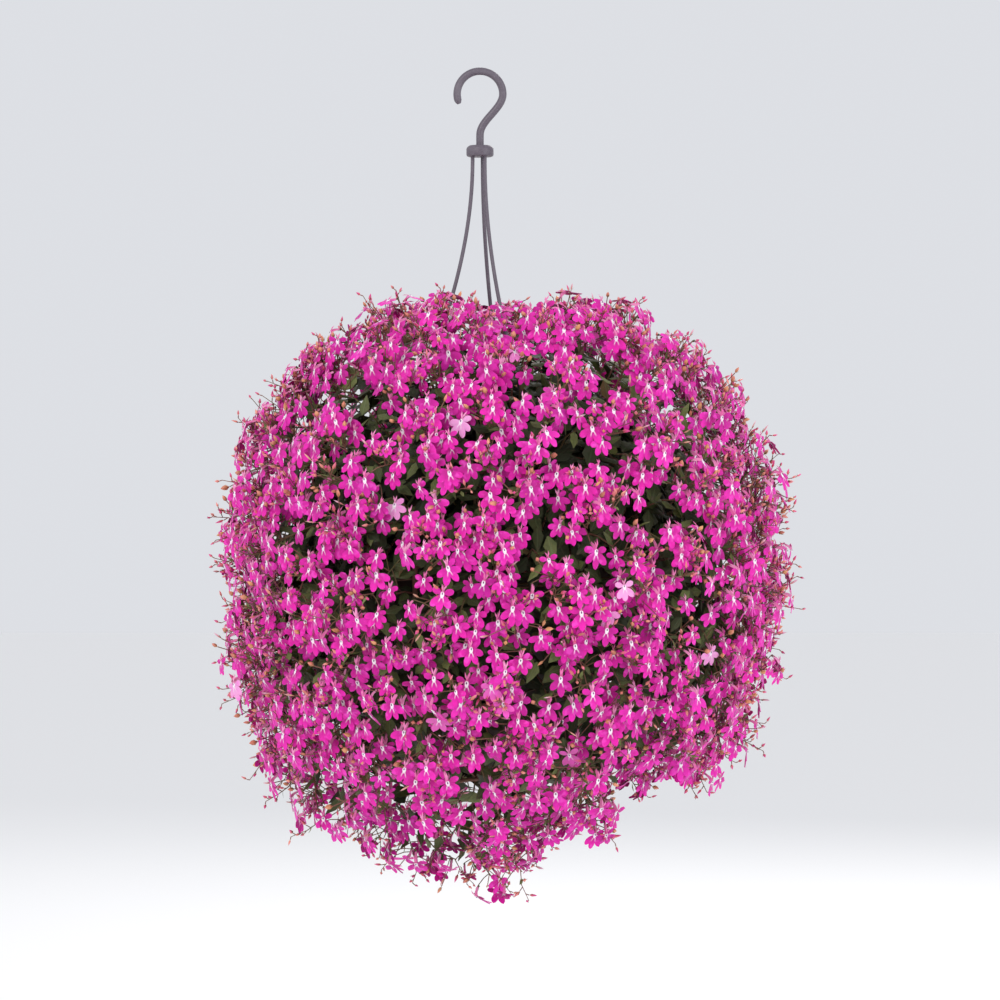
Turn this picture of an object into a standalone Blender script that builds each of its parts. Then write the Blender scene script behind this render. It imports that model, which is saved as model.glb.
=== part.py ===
"""A trailing lobelia in full bloom, in the pot that it hangs in.

Metres, +Z up. The origin is where the hook bears on the bracket that holds it. The front looks along -Y.
Each spray of the plant is a foliage object, which stands in a hole in the compost, and a blooms object,
whose stalk stands in a socket in the foliage. Leaves and flowers are about twice life size, so that a few
hundred of them cover the ball as a thousand small ones do.
"""

import math
import random

import bmesh
import bpy
from mathutils import Vector

GAP = 0.0003
UP = Vector((0, 0, 1))
TURN = 2 * math.pi
SEED = 7

# Hook and strands
HOOK_ROD = 0.0056
HOOK_INNER_RADIUS = 0.0140
HOOK_SHANK_END = -0.0535
HOOK_OPEN_ANGLE = 205
HOOK_POINTS = 11
COLLAR_TOP = -0.0520
COLLAR_HEIGHT = 0.0080
COLLAR_RADIUS = 0.0100
STRAND_DIAMETER = 0.0028
STRAND_SOCKET_DEPTH = 0.0050
STRAND_TOP_RADIUS = 0.0055
STRAND_AZIMUTHS = (70, 190, 310)
STRAND_POINTS = 12

# Pot and compost
RIM_TOP = -0.360
POT_HEIGHT = 0.140
RIM_RADIUS = 0.112
RIM_BAND = 0.016
SHOULDER_RADIUS = 0.107
BASE_RADIUS = 0.071
WALL = 0.0022
POT_SIDES = 24
LUG_RADIUS = 0.0046
LUG_DEPTH = 0.014
DRAIN_HOLES = 5
DRAIN_RADIUS = 0.004
DRAIN_RING = 0.045
COMPOST_TOP = RIM_TOP - 0.018

# Ball of growth
BALL_CENTRE = Vector((0.017, 0.0, -0.365))
BALL_RADIUS = 0.209
CORNER_SWELL = 0.06
TOP_DIP = 0.10
TOP_DIP_SPREAD = 0.045
BOTTOM_DROOP = 0.10
BOTTOM_SPREAD = 0.25

# Rows of sprays, from the top: polar angle, count, first azimuth, azimuth where the stems leave the pot,
# radius of the core in the ball, radius of the stems' holes in the compost
ROWS = (
    (28, 3, 10, 10, 0.164, 0.030),
    (59, 6, 20, 40, 0.166, 0.058),
    (92, 6, 50, 50, 0.166, 0.088),
    (126, 6, 20, 30, 0.179, 0.088),
    (160, 3, 10, 10, 0.188, 0.088),
)
CORE_HALF_WIDTHS = (0.050, 0.062, 0.074, 0.065, 0.048)
CORE_HALF_HEIGHT = 0.042
CORE_HALF_DEPTH = 0.016
CORE_ROUGHNESS = 0.07
CORE_SQUARENESS = 0.5

# Stems, leaves and flowers
STEM_WIDTH = 0.0050
STEM_HOLE_RADIUS = 0.0034
STEM_HOLE_DEPTH = 0.020
SOCKET_RADIUS = 0.0034
SOCKET_DEPTH = 0.0070
HUB_RADIUS = 0.0060
HUB_HEIGHT = 0.0100
FLOWER_COUNT = 222
FLOWER_REACH = 0.0215
FLOWER_DEPTH = 0.012
THROAT_DEPTH = 0.004
STALK_WIDTH = 0.0032
LEAVES_PER_SPRAY = 6
LEAF_LENGTH = 0.034
LEAF_WIDTH = 0.017
LEAF_THICKNESS = 0.0014
PETIOLE_WIDTH = 0.0030
PETIOLE_LENGTH = 0.005
LEAF_CLEARANCE = 0.0035

# Outline of a flower, anticlockwise from the right: angle in degrees, share of its reach, share of its depth
# behind the face. Two narrow upper lobes, two side lobes and a lower lobe, with a notch between each pair.
FLOWER_OUTLINE = (
    (14, 0.26, 0.20),
    (62, 0.95, 0.10),
    (90, 0.28, 0.20),
    (118, 0.95, 0.10),
    (166, 0.26, 0.20),
    (198, 0.94, 0.08),
    (226, 0.97, 0.08),
    (242, 0.46, 0.14),
    (256, 1.00, 0.12),
    (284, 1.00, 0.12),
    (298, 0.46, 0.14),
    (314, 0.97, 0.08),
    (342, 0.94, 0.08),
)
# Toothed edge of a leaf from base to tip: share of its length, share of its half width
LEAF_EDGE = ((0.26, 0.85), (0.42, 0.70), (0.66, 0.90))


def material(name, colour, roughness, metallic=0.0):
    made = bpy.data.materials.new(name)
    made.use_nodes = True
    shader = made.node_tree.nodes["Principled BSDF"]
    shader.inputs["Base Color"].default_value = (*colour, 1)
    shader.inputs["Roughness"].default_value = roughness
    shader.inputs["Metallic"].default_value = metallic
    return made


def around(radius, degrees, height, centre=(0, 0)):
    """The point at this distance and azimuth from an upright axis."""
    angle = math.radians(degrees)
    return Vector((centre[0] + radius * math.cos(angle), centre[1] + radius * math.sin(angle), height))


def direction(polar, azimuth):
    return Vector(
        (
            math.sin(math.radians(polar)) * math.cos(math.radians(azimuth)),
            math.sin(math.radians(polar)) * math.sin(math.radians(azimuth)),
            math.cos(math.radians(polar)),
        )
    )


def near(way, centre, spread):
    """1 where a direction is the centre one, falling to 0 round it."""
    return math.exp(-(way - centre.normalized()).length_squared / spread)


def surface_radius(way):
    """Distance from the ball's centre to its surface of flowers. The ball is a little square, dips where
    the strands enter it and droops at the bottom."""
    square = CORNER_SWELL * (1 - way.x**4 - way.y**4 - way.z**4)
    dip = TOP_DIP * near(way, Vector((-0.08, 0, 1)), TOP_DIP_SPREAD)
    droop = BOTTOM_DROOP * near(way, Vector((-0.2, 0, -1)), BOTTOM_SPREAD)
    return BALL_RADIUS * (1 + square - dip + droop)


def mean(points):
    return sum(points, Vector()) / len(points)


class Shell:
    """A closed surface of triangles that grows stalks, leaves and flowers out of its own faces."""

    def __init__(self, points=(), faces=()):
        self.points = [Vector(point) for point in points]
        self.faces = [tuple(face) for face in faces]

    def ring(self, places):
        """Adds points and returns their numbers."""
        first = len(self.points)
        self.points.extend(places)
        return list(range(first, len(self.points)))

    def in_order(self, ring, axis):
        """The ring's points as (angle, number), anticlockwise round the axis."""
        across = axis.orthogonal().normalized()
        beside = axis.cross(across)
        centre = mean([self.points[i] for i in ring])
        spokes = [(self.points[i] - centre, i) for i in ring]
        return sorted((math.atan2(s.dot(beside), s.dot(across)) % TURN, i) for s, i in spokes)

    def facing(self, ring):
        """The way that a ring faces, from the order of its points."""
        centre = mean([self.points[i] for i in ring])
        spokes = [self.points[i] - centre for i in ring]
        return sum((a.cross(b) for a, b in zip(spokes, spokes[1:] + spokes[:1])), Vector()).normalized()

    def bridge(self, base, tip):
        """Joins two rings that face the same way on the whole, whatever their counts."""
        axis = (self.facing(base) + self.facing(tip)).normalized()
        rings = [self.in_order(base, axis), self.in_order(tip, axis)]
        at = [0, 0]
        while at[0] < len(base) or at[1] < len(tip):
            low, high = (ring[step % len(ring)][1] for ring, step in zip(rings, at))
            ahead = [ring[(k + 1) % len(ring)][0] + TURN * (k + 1 >= len(ring)) for ring, k in zip(rings, at)]
            side = int(at[0] >= len(base) or (at[1] < len(tip) and ahead[1] < ahead[0]))
            following = rings[side][(at[side] + 1) % len(rings[side])][1]
            self.faces.append((low, following, high))
            at[side] += 1

    def fan(self, ring, apex):
        """Closes a ring, anticlockwise as seen from outside, to one point."""
        peak = self.ring([apex])[0]
        self.faces.extend((a, b, peak) for a, b in zip(ring, ring[1:] + ring[:1]))

    def face_towards(self, way):
        """The untouched face whose middle lies furthest this way."""
        middles = ((mean([self.points[i] for i in face]).dot(way), face) for face in self.faces)
        return max(middles, key=lambda pair: pair[0])[1]

    def stalk(self, face, path, widths, end_way=None):
        """Runs a three-sided stalk from a face along a path, and returns its last ring."""
        if face in self.faces:
            self.faces.remove(face)
        ring = list(face)
        before = mean([self.points[i] for i in ring])
        spoke = self.points[ring[0]] - before
        for step, (place, width) in enumerate(zip(path, widths)):
            after = path[step + 1] if step + 1 < len(path) else place + (end_way or place - before)
            along = ((place - before).normalized() + (after - place).normalized()).normalized()
            if end_way and step + 1 == len(path):
                along = end_way
            spoke = (spoke - along * spoke.dot(along)).normalized() * width / 2
            beside = along.cross(spoke)
            corners = [
                place + spoke * math.cos(angle) + beside * math.sin(angle)
                for angle in (0, TURN / 3, 2 * TURN / 3)
            ]
            following = self.ring(corners)
            self.bridge(ring, following)
            ring = following
            before = place
        return ring

    def made(self, name, finish):
        """The shell as an object in the scene."""
        mesh = bpy.data.meshes.new(name)
        mesh.from_pydata([tuple(p) for p in self.points], [], self.faces)
        mesh.validate()
        mesh.materials.append(finish)
        thing = bpy.data.objects.new(name, mesh)
        bpy.context.collection.objects.link(thing)
        return thing


def icosphere(subdivisions):
    """Points and faces of a unit icosphere."""
    ball = bmesh.new()
    bmesh.ops.create_icosphere(ball, subdivisions=subdivisions, radius=1)
    points = [vertex.co.copy() for vertex in ball.verts]
    faces = [tuple(vertex.index for vertex in face.verts) for face in ball.faces]
    ball.free()
    return points, faces


def solid(name, finish=None):
    """An empty object ready for a mesh."""
    mesh = bpy.data.meshes.new(name)
    thing = bpy.data.objects.new(name, mesh)
    bpy.context.collection.objects.link(thing)
    if finish:
        mesh.materials.append(finish)
    return thing


def rod(name, radius, bottom, top, at=(0, 0), sides=12):
    """An upright cylinder between two heights."""
    thing = solid(name)
    shape = bmesh.new()
    bmesh.ops.create_cone(
        shape, cap_ends=True, segments=sides, radius1=radius, radius2=radius, depth=top - bottom
    )
    bmesh.ops.translate(shape, verts=shape.verts, vec=(at[0], at[1], (top + bottom) / 2))
    shape.to_mesh(thing.data)
    shape.free()
    return thing


def turned(name, profile, sides, finish=None):
    """A closed solid turned round the upright axis from a profile of (radius, height) pairs, which starts
    and ends on the axis."""
    thing = solid(name, finish)
    rings = []
    points = []
    for radius, height in profile:
        count = 1 if radius == 0 else sides
        rings.append(range(len(points), len(points) + count))
        points.extend(around(radius, 360 * i / sides, height) for i in range(count))
    faces = []
    for upper, lower in zip(rings, rings[1:]):
        for i in range(sides):
            corners = [upper[i % len(upper)], lower[i % len(lower)]]
            corners += [lower[(i + 1) % len(lower)], upper[(i + 1) % len(upper)]]
            faces.append(tuple(dict.fromkeys(corners)))
    thing.data.from_pydata([tuple(p) for p in points], [], faces)
    return thing


def combine(target, operation, others):
    """One Boolean of the target and a group of objects, applied, with the group then removed."""
    group = bpy.data.collections.new(target.name + "_" + operation.lower())
    bpy.context.scene.collection.children.link(group)
    for other in others:
        bpy.context.collection.objects.unlink(other)
        group.objects.link(other)
    cut = target.modifiers.new(operation.title(), "BOOLEAN")
    cut.operation = operation
    cut.operand_type = "COLLECTION"
    cut.collection = group
    bpy.context.view_layer.objects.active = target
    bpy.ops.object.modifier_apply(modifier=cut.name)
    for other in list(group.objects):
        bpy.data.objects.remove(other)
    bpy.data.collections.remove(group)


def shade_round(thing, degrees=40):
    thing.data.shade_smooth()
    thing.data.set_sharp_from_angle(angle=math.radians(degrees))


def tube(name, path, diameter, resolution, finish):
    """A round rod along a path, with closed ends, as a mesh."""
    curve = bpy.data.curves.new(name, "CURVE")
    curve.dimensions = "3D"
    curve.bevel_depth = diameter / 2
    curve.bevel_resolution = resolution
    curve.use_fill_caps = True
    spline = curve.splines.new("POLY")
    spline.points.add(len(path) - 1)
    for point, place in zip(spline.points, path):
        point.co = (*place, 1)
    guide = bpy.data.objects.new(name + "_guide", curve)
    bpy.context.collection.objects.link(guide)
    mesh = bpy.data.meshes.new_from_object(guide.evaluated_get(bpy.context.evaluated_depsgraph_get()))
    bpy.data.objects.remove(guide)
    mesh.name = name
    joined = bmesh.new()
    joined.from_mesh(mesh)
    bmesh.ops.remove_doubles(joined, verts=joined.verts, dist=1e-5)
    joined.to_mesh(mesh)
    joined.free()
    thing = bpy.data.objects.new(name, mesh)
    mesh.materials.clear()
    mesh.materials.append(finish)
    bpy.context.collection.objects.link(thing)
    return thing


def strand_socket(azimuth):
    """Where a strand's top stands in the collar, from below."""
    return around(STRAND_TOP_RADIUS, azimuth, COLLAR_TOP - COLLAR_HEIGHT)


def lug_place(azimuth):
    """The top of the lug that a strand's foot stands in."""
    return around(SHOULDER_RADIUS - LUG_RADIUS / 2, azimuth, RIM_TOP + 0.001)


def strand_path(azimuth):
    """From its socket in the collar a strand bows out like a sprung rod, and stands upright in its lug."""
    top = strand_socket(azimuth)
    foot = lug_place(azimuth)
    first = top + UP * (STRAND_SOCKET_DEPTH - GAP)
    last = foot - UP * (STRAND_SOCKET_DEPTH - GAP)
    bow_top = top - UP * 0.003
    bow_foot = foot + UP * 0.002
    path = [first, bow_top]
    for i in range(1, STRAND_POINTS):
        share = i / STRAND_POINTS
        bow = (3 * share**2 - share**3) / 2
        place = bow_top.lerp(bow_foot, bow)
        place.z = bow_top.z + (bow_foot.z - bow_top.z) * share
        path.append(place)
    return path + [bow_foot, last]


def make_hook(finish):
    """A bent rod that ends in the collar. Its arc's inner top is the origin."""
    centre_radius = HOOK_INNER_RADIUS + HOOK_ROD / 2
    path = [
        Vector((centre_radius * math.cos(a), 0, centre_radius * math.sin(a) - HOOK_INNER_RADIUS))
        for a in (math.radians(HOOK_OPEN_ANGLE) * i / HOOK_POINTS for i in range(HOOK_POINTS, -1, -1))
    ]
    bend_end = COLLAR_TOP + 0.008
    for i in range(1, 6):
        share = i / 5
        side = centre_radius * (1 + math.cos(math.pi * share)) / 2
        path.append(Vector((side, 0, -HOOK_INNER_RADIUS + (bend_end + HOOK_INNER_RADIUS) * share)))
    path.append(Vector((0, 0, HOOK_SHANK_END)))
    hook = tube("hook", path, HOOK_ROD, 2, finish)
    collar = turned(
        "collar",
        (
            (0, COLLAR_TOP),
            (COLLAR_RADIUS * 0.8, COLLAR_TOP),
            (COLLAR_RADIUS, COLLAR_TOP - 0.002),
            (COLLAR_RADIUS, COLLAR_TOP - COLLAR_HEIGHT),
            (0, COLLAR_TOP - COLLAR_HEIGHT),
        ),
        18,
    )
    combine(hook, "UNION", [collar])
    sockets = []
    for azimuth in STRAND_AZIMUTHS:
        place = strand_socket(azimuth)
        radius = STRAND_DIAMETER / 2 + GAP
        sockets.append(rod("socket", radius, place.z - 0.001, place.z + STRAND_SOCKET_DEPTH, place.xy, 8))
    combine(hook, "DIFFERENCE", sockets)
    shade_round(hook)


def make_strands(finish):
    for number, azimuth in enumerate(STRAND_AZIMUTHS, 1):
        strand = tube(f"strand_{number}", strand_path(azimuth), STRAND_DIAMETER, 1, finish)
        shade_round(strand, 60)


def wall_radius(height):
    """Outer radius of the pot's side below its rim band."""
    share = (RIM_TOP - height) / POT_HEIGHT
    return SHOULDER_RADIUS + (BASE_RADIUS - SHOULDER_RADIUS) * share


def make_pot(finish):
    """A tapered pot with a stepped rim band, lugs inside it for the strands and drain holes."""
    floor = RIM_TOP - POT_HEIGHT
    band = RIM_TOP - RIM_BAND
    pot = turned(
        "pot",
        (
            (0, floor + WALL),
            (wall_radius(floor) - WALL, floor + WALL),
            (wall_radius(band) - WALL, band),
            (RIM_RADIUS - WALL, band + 0.004),
            (RIM_RADIUS - WALL, RIM_TOP),
            (RIM_RADIUS, RIM_TOP),
            (RIM_RADIUS, band),
            (wall_radius(band), band - 0.001),
            (wall_radius(floor), floor),
            (0, floor),
        ),
        POT_SIDES,
        finish,
    )
    pot.data.flip_normals()
    if not outward(pot):
        pot.data.flip_normals()
    lugs = []
    holes = []
    for azimuth in STRAND_AZIMUTHS:
        place = lug_place(azimuth)
        lugs.append(rod("lug", LUG_RADIUS, place.z - LUG_DEPTH, place.z, place.xy, 10))
        radius = STRAND_DIAMETER / 2 + GAP
        holes.append(rod("hole", radius, place.z - STRAND_SOCKET_DEPTH, place.z + 0.001, place.xy, 8))
        web_out = around(RIM_RADIUS - WALL / 2, azimuth, 0)
        web_in = around(SHOULDER_RADIUS - LUG_RADIUS / 2, azimuth, 0)
        lugs.append(web(web_in, web_out, LUG_RADIUS, place.z - LUG_DEPTH + 0.0005, RIM_TOP - 0.0005))
    combine(pot, "UNION", lugs)
    for i in range(DRAIN_HOLES):
        place = around(DRAIN_RING, 360 * i / DRAIN_HOLES + 18, 0)
        holes.append(rod("drain", DRAIN_RADIUS, floor - 0.002, floor + WALL + 0.002, place.xy, 8))
    combine(pot, "DIFFERENCE", holes)
    shade_round(pot, 30)


def web(inner, outer, width, bottom, top):
    """An upright plate from a lug to the wall."""
    thing = solid("web")
    along = (outer - inner).normalized()
    beside = UP.cross(along) * width / 2
    shape = bmesh.new()
    corners = [inner - beside, outer - beside, outer + beside, inner + beside]
    low = [shape.verts.new((c.x, c.y, bottom)) for c in corners]
    high = [shape.verts.new((c.x, c.y, top)) for c in corners]
    shape.faces.new(low[::-1])
    shape.faces.new(high)
    for i in range(4):
        shape.faces.new((low[i], low[(i + 1) % 4], high[(i + 1) % 4], high[i]))
    shape.to_mesh(thing.data)
    shape.free()
    return thing


def outward(thing):
    """Whether a closed mesh holds a positive volume."""
    volume = 0.0
    thing.data.calc_loop_triangles()
    for triangle in thing.data.loop_triangles:
        a, b, c = (thing.data.vertices[i].co for i in triangle.vertices)
        volume += a.dot(b.cross(c))
    return volume > 0


def make_compost(finish, roots):
    """The compost fills the pot to below its rim and has a plain hole for each stem."""
    bottom = RIM_TOP - POT_HEIGHT + WALL + GAP
    compost = turned(
        "compost",
        (
            (0, COMPOST_TOP + 0.004),
            (0.060, COMPOST_TOP + 0.002),
            (wall_radius(COMPOST_TOP) - WALL - 2 * GAP, COMPOST_TOP - 0.002),
            (wall_radius(bottom) - WALL - 2 * GAP, bottom),
            (0, bottom),
        ),
        POT_SIDES,
        finish,
    )
    if not outward(compost):
        compost.data.flip_normals()
    holes = [
        rod("stem_hole", STEM_HOLE_RADIUS, COMPOST_TOP - STEM_HOLE_DEPTH, COMPOST_TOP + 0.01, root.xy, 6)
        for root in roots
    ]
    combine(compost, "DIFFERENCE", holes)


class Spray:
    """One spray: where it lies in the ball, and where its stem leaves the pot."""

    def __init__(self, number, row, azimuth, rim_azimuth, draw):
        polar, count, _, _, self.core_radius, root_radius = ROWS[row]
        self.number = number
        self.row = row
        self.way = direction(polar, azimuth)
        self.rim_azimuth = rim_azimuth
        self.half_width = CORE_HALF_WIDTHS[row]
        self.root = around(root_radius, rim_azimuth, COMPOST_TOP)
        self.beside = UP.cross(self.way).normalized()
        self.above = self.way.cross(self.beside)
        self.draw = draw
        self.core_points = 0
        self.flowers = []
        self.stalks = []

    def place(self, across, up, radius):
        """A point at this distance from the ball's centre, this far across and up from the spray's middle."""
        way = self.way + (self.beside * across + self.above * up) / self.core_radius
        return BALL_CENTRE + way.normalized() * radius

    def stem_path(self):
        """From the core to the bottom of the hole in the compost, over the rim where the spray hangs."""
        turn = self.rim_azimuth
        path = []
        if self.row >= 2:
            path.append(around(0.124, turn, RIM_TOP + 0.014))
        if self.row >= 3:
            path.insert(0, around(0.131, turn, RIM_TOP - 0.006))
            path.insert(0, around(0.126, turn, RIM_TOP - 0.050))
        if self.row >= 4:
            path.insert(0, around(0.105, turn, RIM_TOP - 0.112))
            path.insert(0, around(0.088, turn, RIM_TOP - 0.150))
        if self.row >= 2:
            path.append(around(0.100, turn, RIM_TOP + 0.014))
        path.append(self.root + UP * 0.014)
        path.append(self.root - UP * (STEM_HOLE_DEPTH - GAP))
        return path

    def make_core(self):
        """A rough flat lump that leaves and stem grow out of, behind the leaves."""
        points, faces = icosphere(2)
        self.core_points = len(points)
        shaped = []
        for point in points:
            rough = 1 + self.draw.uniform(-CORE_ROUGHNESS, CORE_ROUGHNESS)
            reach = math.hypot(point.x, point.y)
            if reach > 0:
                corner = reach / (point.x**4 + point.y**4) ** 0.25
                rough *= 1 + CORE_SQUARENESS * (corner - 1)
            across = point.x * self.half_width * rough
            up = point.y * CORE_HALF_HEIGHT * rough
            shaped.append(self.place(across, up, self.core_radius + point.z * CORE_HALF_DEPTH))
        return Shell(shaped, faces)


def plan_sprays():
    draw = random.Random(SEED)
    sprays = []
    for row, (_, count, first, first_rim, _, _) in enumerate(ROWS):
        for i in range(count):
            turn = 360 * i / count
            sprays.append(Spray(len(sprays) + 1, row, first + turn, first_rim + turn, draw))
    return sprays


def plan_flowers(sprays):
    """Even points over the ball, each given to the nearest spray. Those too near a strand are left out."""
    strands = [place for azimuth in STRAND_AZIMUTHS for place in strand_path(azimuth)]
    golden = math.pi * (3 - math.sqrt(5))
    for i in range(FLOWER_COUNT):
        height = 1 - 2 * (i + 0.5) / FLOWER_COUNT
        level = math.sqrt(1 - height**2)
        way = Vector((level * math.cos(golden * i), level * math.sin(golden * i), height))
        place = BALL_CENTRE + way * surface_radius(way)
        if min((place - point).length for point in strands) < FLOWER_REACH + 0.004:
            continue
        owner = max(sprays, key=lambda spray: spray.way.dot(way))
        owner.flowers.append((place, way))


def socket_of(spray, core):
    """Cuts the blooms' socket in the core's outermost face. Returns its mouth's middle and its way out."""
    face = core.face_towards(spray.way)
    corners = [core.points[i] for i in face]
    middle = mean(corners)
    out = (corners[1] - corners[0]).cross(corners[2] - corners[0]).normalized()
    core.faces.remove(face)
    spoke = (corners[0] - middle).normalized() * SOCKET_RADIUS
    spokes = [spoke, rotated(spoke, out, 120), rotated(spoke, out, 240)]
    mouth = core.ring([middle + s for s in spokes])
    bottom = core.ring([middle + s - out * SOCKET_DEPTH for s in spokes])
    core.bridge(list(face), mouth)
    for i in range(3):
        following = (i + 1) % 3
        core.faces.append((mouth[i], mouth[following], bottom[following]))
        core.faces.append((mouth[i], bottom[following], bottom[i]))
    core.faces.append(tuple(bottom))
    return middle, out, spokes


def rotated(vector, axis, degrees):
    angle = math.radians(degrees)
    beside = axis.cross(vector)
    return vector * math.cos(angle) + beside * math.sin(angle) + axis * axis.dot(vector) * (1 - math.cos(angle))


def add_flower(blooms, face, place, facing):
    """A flower at the end of its own stalk: a star of five lobes round a sunk throat, with a tapered back."""
    up = (UP - facing * UP.dot(facing)).normalized()
    right = up.cross(facing)
    back = place - facing * FLOWER_DEPTH
    ring = blooms.stalk(face, [back], [STALK_WIDTH], facing)
    outline = []
    for degrees, reach, depth in FLOWER_OUTLINE:
        angle = math.radians(degrees)
        spoke = right * math.cos(angle) + up * math.sin(angle)
        outline.append(place + spoke * reach * FLOWER_REACH - facing * depth * FLOWER_DEPTH)
    lobes = blooms.ring(outline)
    blooms.bridge(ring, lobes)
    blooms.fan(lobes, place - facing * THROAT_DEPTH)
    return back


def make_blooms(spray, mouth, out, spokes, finish):
    """A stalk in the foliage's socket ends in a knot, from which each flower's own stalk fans out."""
    shrink = 1 - 2 * GAP / SOCKET_RADIUS
    foot = mouth - out * (SOCKET_DEPTH - GAP)
    neck = mouth + out * (HUB_HEIGHT - HUB_RADIUS)
    blooms = Shell()
    low = blooms.ring([foot + s * shrink for s in spokes])
    blooms.faces.append((low[2], low[1], low[0]))
    high = blooms.ring([neck + s * shrink for s in spokes])
    blooms.bridge(low, high)
    across = out.orthogonal().normalized()
    beside = out.cross(across)

    def turn_of(flower):
        spoke = flower[0] - mouth
        return math.atan2(spoke.dot(beside), spoke.dot(across)) % TURN

    flowers = sorted(spray.flowers, key=turn_of)
    count = len(flowers)
    offset = sum(turn_of(flower) - TURN * i / count for i, flower in enumerate(flowers)) / count
    turns = [(turn_of(flower) + offset + TURN * i / count) / 2 for i, flower in enumerate(flowers)]
    edges = [(turns[i - 1] + turns[i] - (TURN if i == 0 else 0)) / 2 for i in range(count)]
    belt_middle = mouth + out * HUB_HEIGHT
    belt = blooms.ring(
        [belt_middle + (across * math.cos(a) + beside * math.sin(a)) * HUB_RADIUS for a in edges]
    )
    blooms.bridge(high, belt)
    peak = blooms.ring([belt_middle + out * HUB_RADIUS * 0.7])[0]
    hub = mean([blooms.points[i] for i in belt])
    for i, (place, way) in enumerate(flowers):
        back = add_flower(blooms, (belt[i], belt[(i + 1) % count], peak), place, way)
        spray.stalks.append((hub, back))
    blooms.made(f"blooms_{spray.number:02d}", finish)


def samples(start, end, count):
    return [start.lerp(end, i / (count - 1)) for i in range(count)]


def add_leaf(core, face, base, along, outside, length, width):
    """A toothed leaf on a short stalk from a face of the core, folded a little along its midrib."""
    beside = outside.cross(along).normalized()
    top = along.cross(beside)
    foot = base + along * PETIOLE_LENGTH
    core.faces.remove(face)
    ring = core.ring(
        [
            foot + beside * PETIOLE_WIDTH / 2 + top * PETIOLE_WIDTH / 4,
            foot - beside * PETIOLE_WIDTH / 2 + top * PETIOLE_WIDTH / 4,
            foot - top * PETIOLE_WIDTH / 2,
        ]
    )
    core.bridge(list(face), ring)
    left, right, under = ring
    blade = length - PETIOLE_LENGTH
    edges = []
    for side in (1, -1):
        edges.append(
            core.ring(
                [
                    foot + along * blade * share + beside * side * half * width / 2
                    + top * (half * width * 0.16)
                    for share, half in LEAF_EDGE
                ]
            )
        )
    tip = core.ring([foot + along * blade - top * 0.003])[0]
    middle = foot + along * blade * 0.45
    upper = core.ring([middle + top * LEAF_THICKNESS / 2])[0]
    lower = core.ring([middle - top * LEAF_THICKNESS])[0]
    around_top = [right] + edges[1] + [tip] + edges[0][::-1] + [left]
    core.faces.extend((a, b, upper) for a, b in zip(around_top, around_top[1:] + around_top[:1]))
    around_under = [left] + edges[0] + [tip] + edges[1][::-1] + [right, under]
    core.faces.extend((a, b, lower) for a, b in zip(around_under, around_under[1:] + around_under[:1]))


def add_leaves(spray, core, blocked, stem_start):
    """Leaves stand out of the core between the flower stalks, and keep clear of them and of each other."""
    draw = spray.draw
    bare = [face for face in core.faces if max(face) < spray.core_points]
    draw.shuffle(bare)
    placed = 0
    for face in bare:
        if placed == LEAVES_PER_SPRAY:
            break
        corners = [core.points[i] for i in face]
        base = mean(corners)
        normal = (corners[1] - corners[0]).cross(corners[2] - corners[0]).normalized()
        outside = (base - BALL_CENTRE).normalized()
        size = (corners[0] - corners[1]).length
        if normal.dot(outside) < 0.35 or size < 0.008 or (base - stem_start).length < 0.03:
            continue
        for _ in range(12):
            sideways = rotated(spray.beside, spray.way, draw.uniform(0, 360))
            along = (outside * draw.uniform(0.45, 0.75) + sideways * 0.8 - UP * 0.1).normalized()
            length = LEAF_LENGTH * draw.uniform(0.85, 1.1)
            width = LEAF_WIDTH * draw.uniform(0.9, 1.1)
            if normal.dot(along) < 0.45:
                continue
            tip = base + along * length
            room = surface_radius((tip - BALL_CENTRE).normalized()) - FLOWER_DEPTH
            if (tip - BALL_CENTRE).length > room:
                continue
            line = samples(base + along * 0.006, tip, 7)
            clear = LEAF_CLEARANCE + width / 2
            if any((a - b).length < clear + r for b, r in blocked for a in line):
                continue
            add_leaf(core, face, base, along, outside, length, width)
            blocked.extend((point, width / 2) for point in line)
            placed += 1
            break


def make_plant(leaf_green, petal_pink):
    sprays = plan_sprays()
    plan_flowers(sprays)
    cores = {}
    for spray in sprays:
        core = spray.make_core()
        mouth, out, spokes = socket_of(spray, core)
        make_blooms(spray, mouth, out, spokes, petal_pink)
        cores[spray] = core
    blocked = [(point, 0.003) for spray in sprays for stalk in spray.stalks for point in samples(*stalk, 12)]
    blocked += [(point, 0.004) for azimuth in STRAND_AZIMUTHS for point in strand_path(azimuth)]
    for spray, core in cores.items():
        path = spray.stem_path()
        start = core.face_towards((path[0] - BALL_CENTRE - spray.way * spray.core_radius).normalized())
        begin = mean([core.points[i] for i in start])
        ring = core.stalk(start, path, [STEM_WIDTH] * len(path))
        core.faces.append(tuple(ring))
        add_leaves(spray, core, blocked, begin)
        core.made(f"foliage_{spray.number:02d}", leaf_green)
    return [spray.root for spray in sprays]


def main():
    for thing in list(bpy.data.objects):
        bpy.data.objects.remove(thing)
    hanger_plastic = material("hanger_plastic", (0.16, 0.13, 0.16), 0.45)
    pot_plastic = material("pot_plastic", (0.060, 0.030, 0.022), 0.50)
    compost_brown = material("compost", (0.045, 0.028, 0.018), 0.95)
    leaf_green = material("leaf", (0.055, 0.105, 0.040), 0.55)
    petal_pink = material("petal", (0.84, 0.012, 0.45), 0.60)
    make_hook(hanger_plastic)
    make_strands(hanger_plastic)
    make_pot(pot_plastic)
    roots = make_plant(leaf_green, petal_pink)
    make_compost(compost_brown, roots)


main()
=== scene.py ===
"""The looks of a trailing lobelia in its hanging pot: some 2,800 flowers on real shoots, with leaves, buds,
seed pods, stems, pot, compost, strands and hook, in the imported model's frame."""

import math
import random

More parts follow.
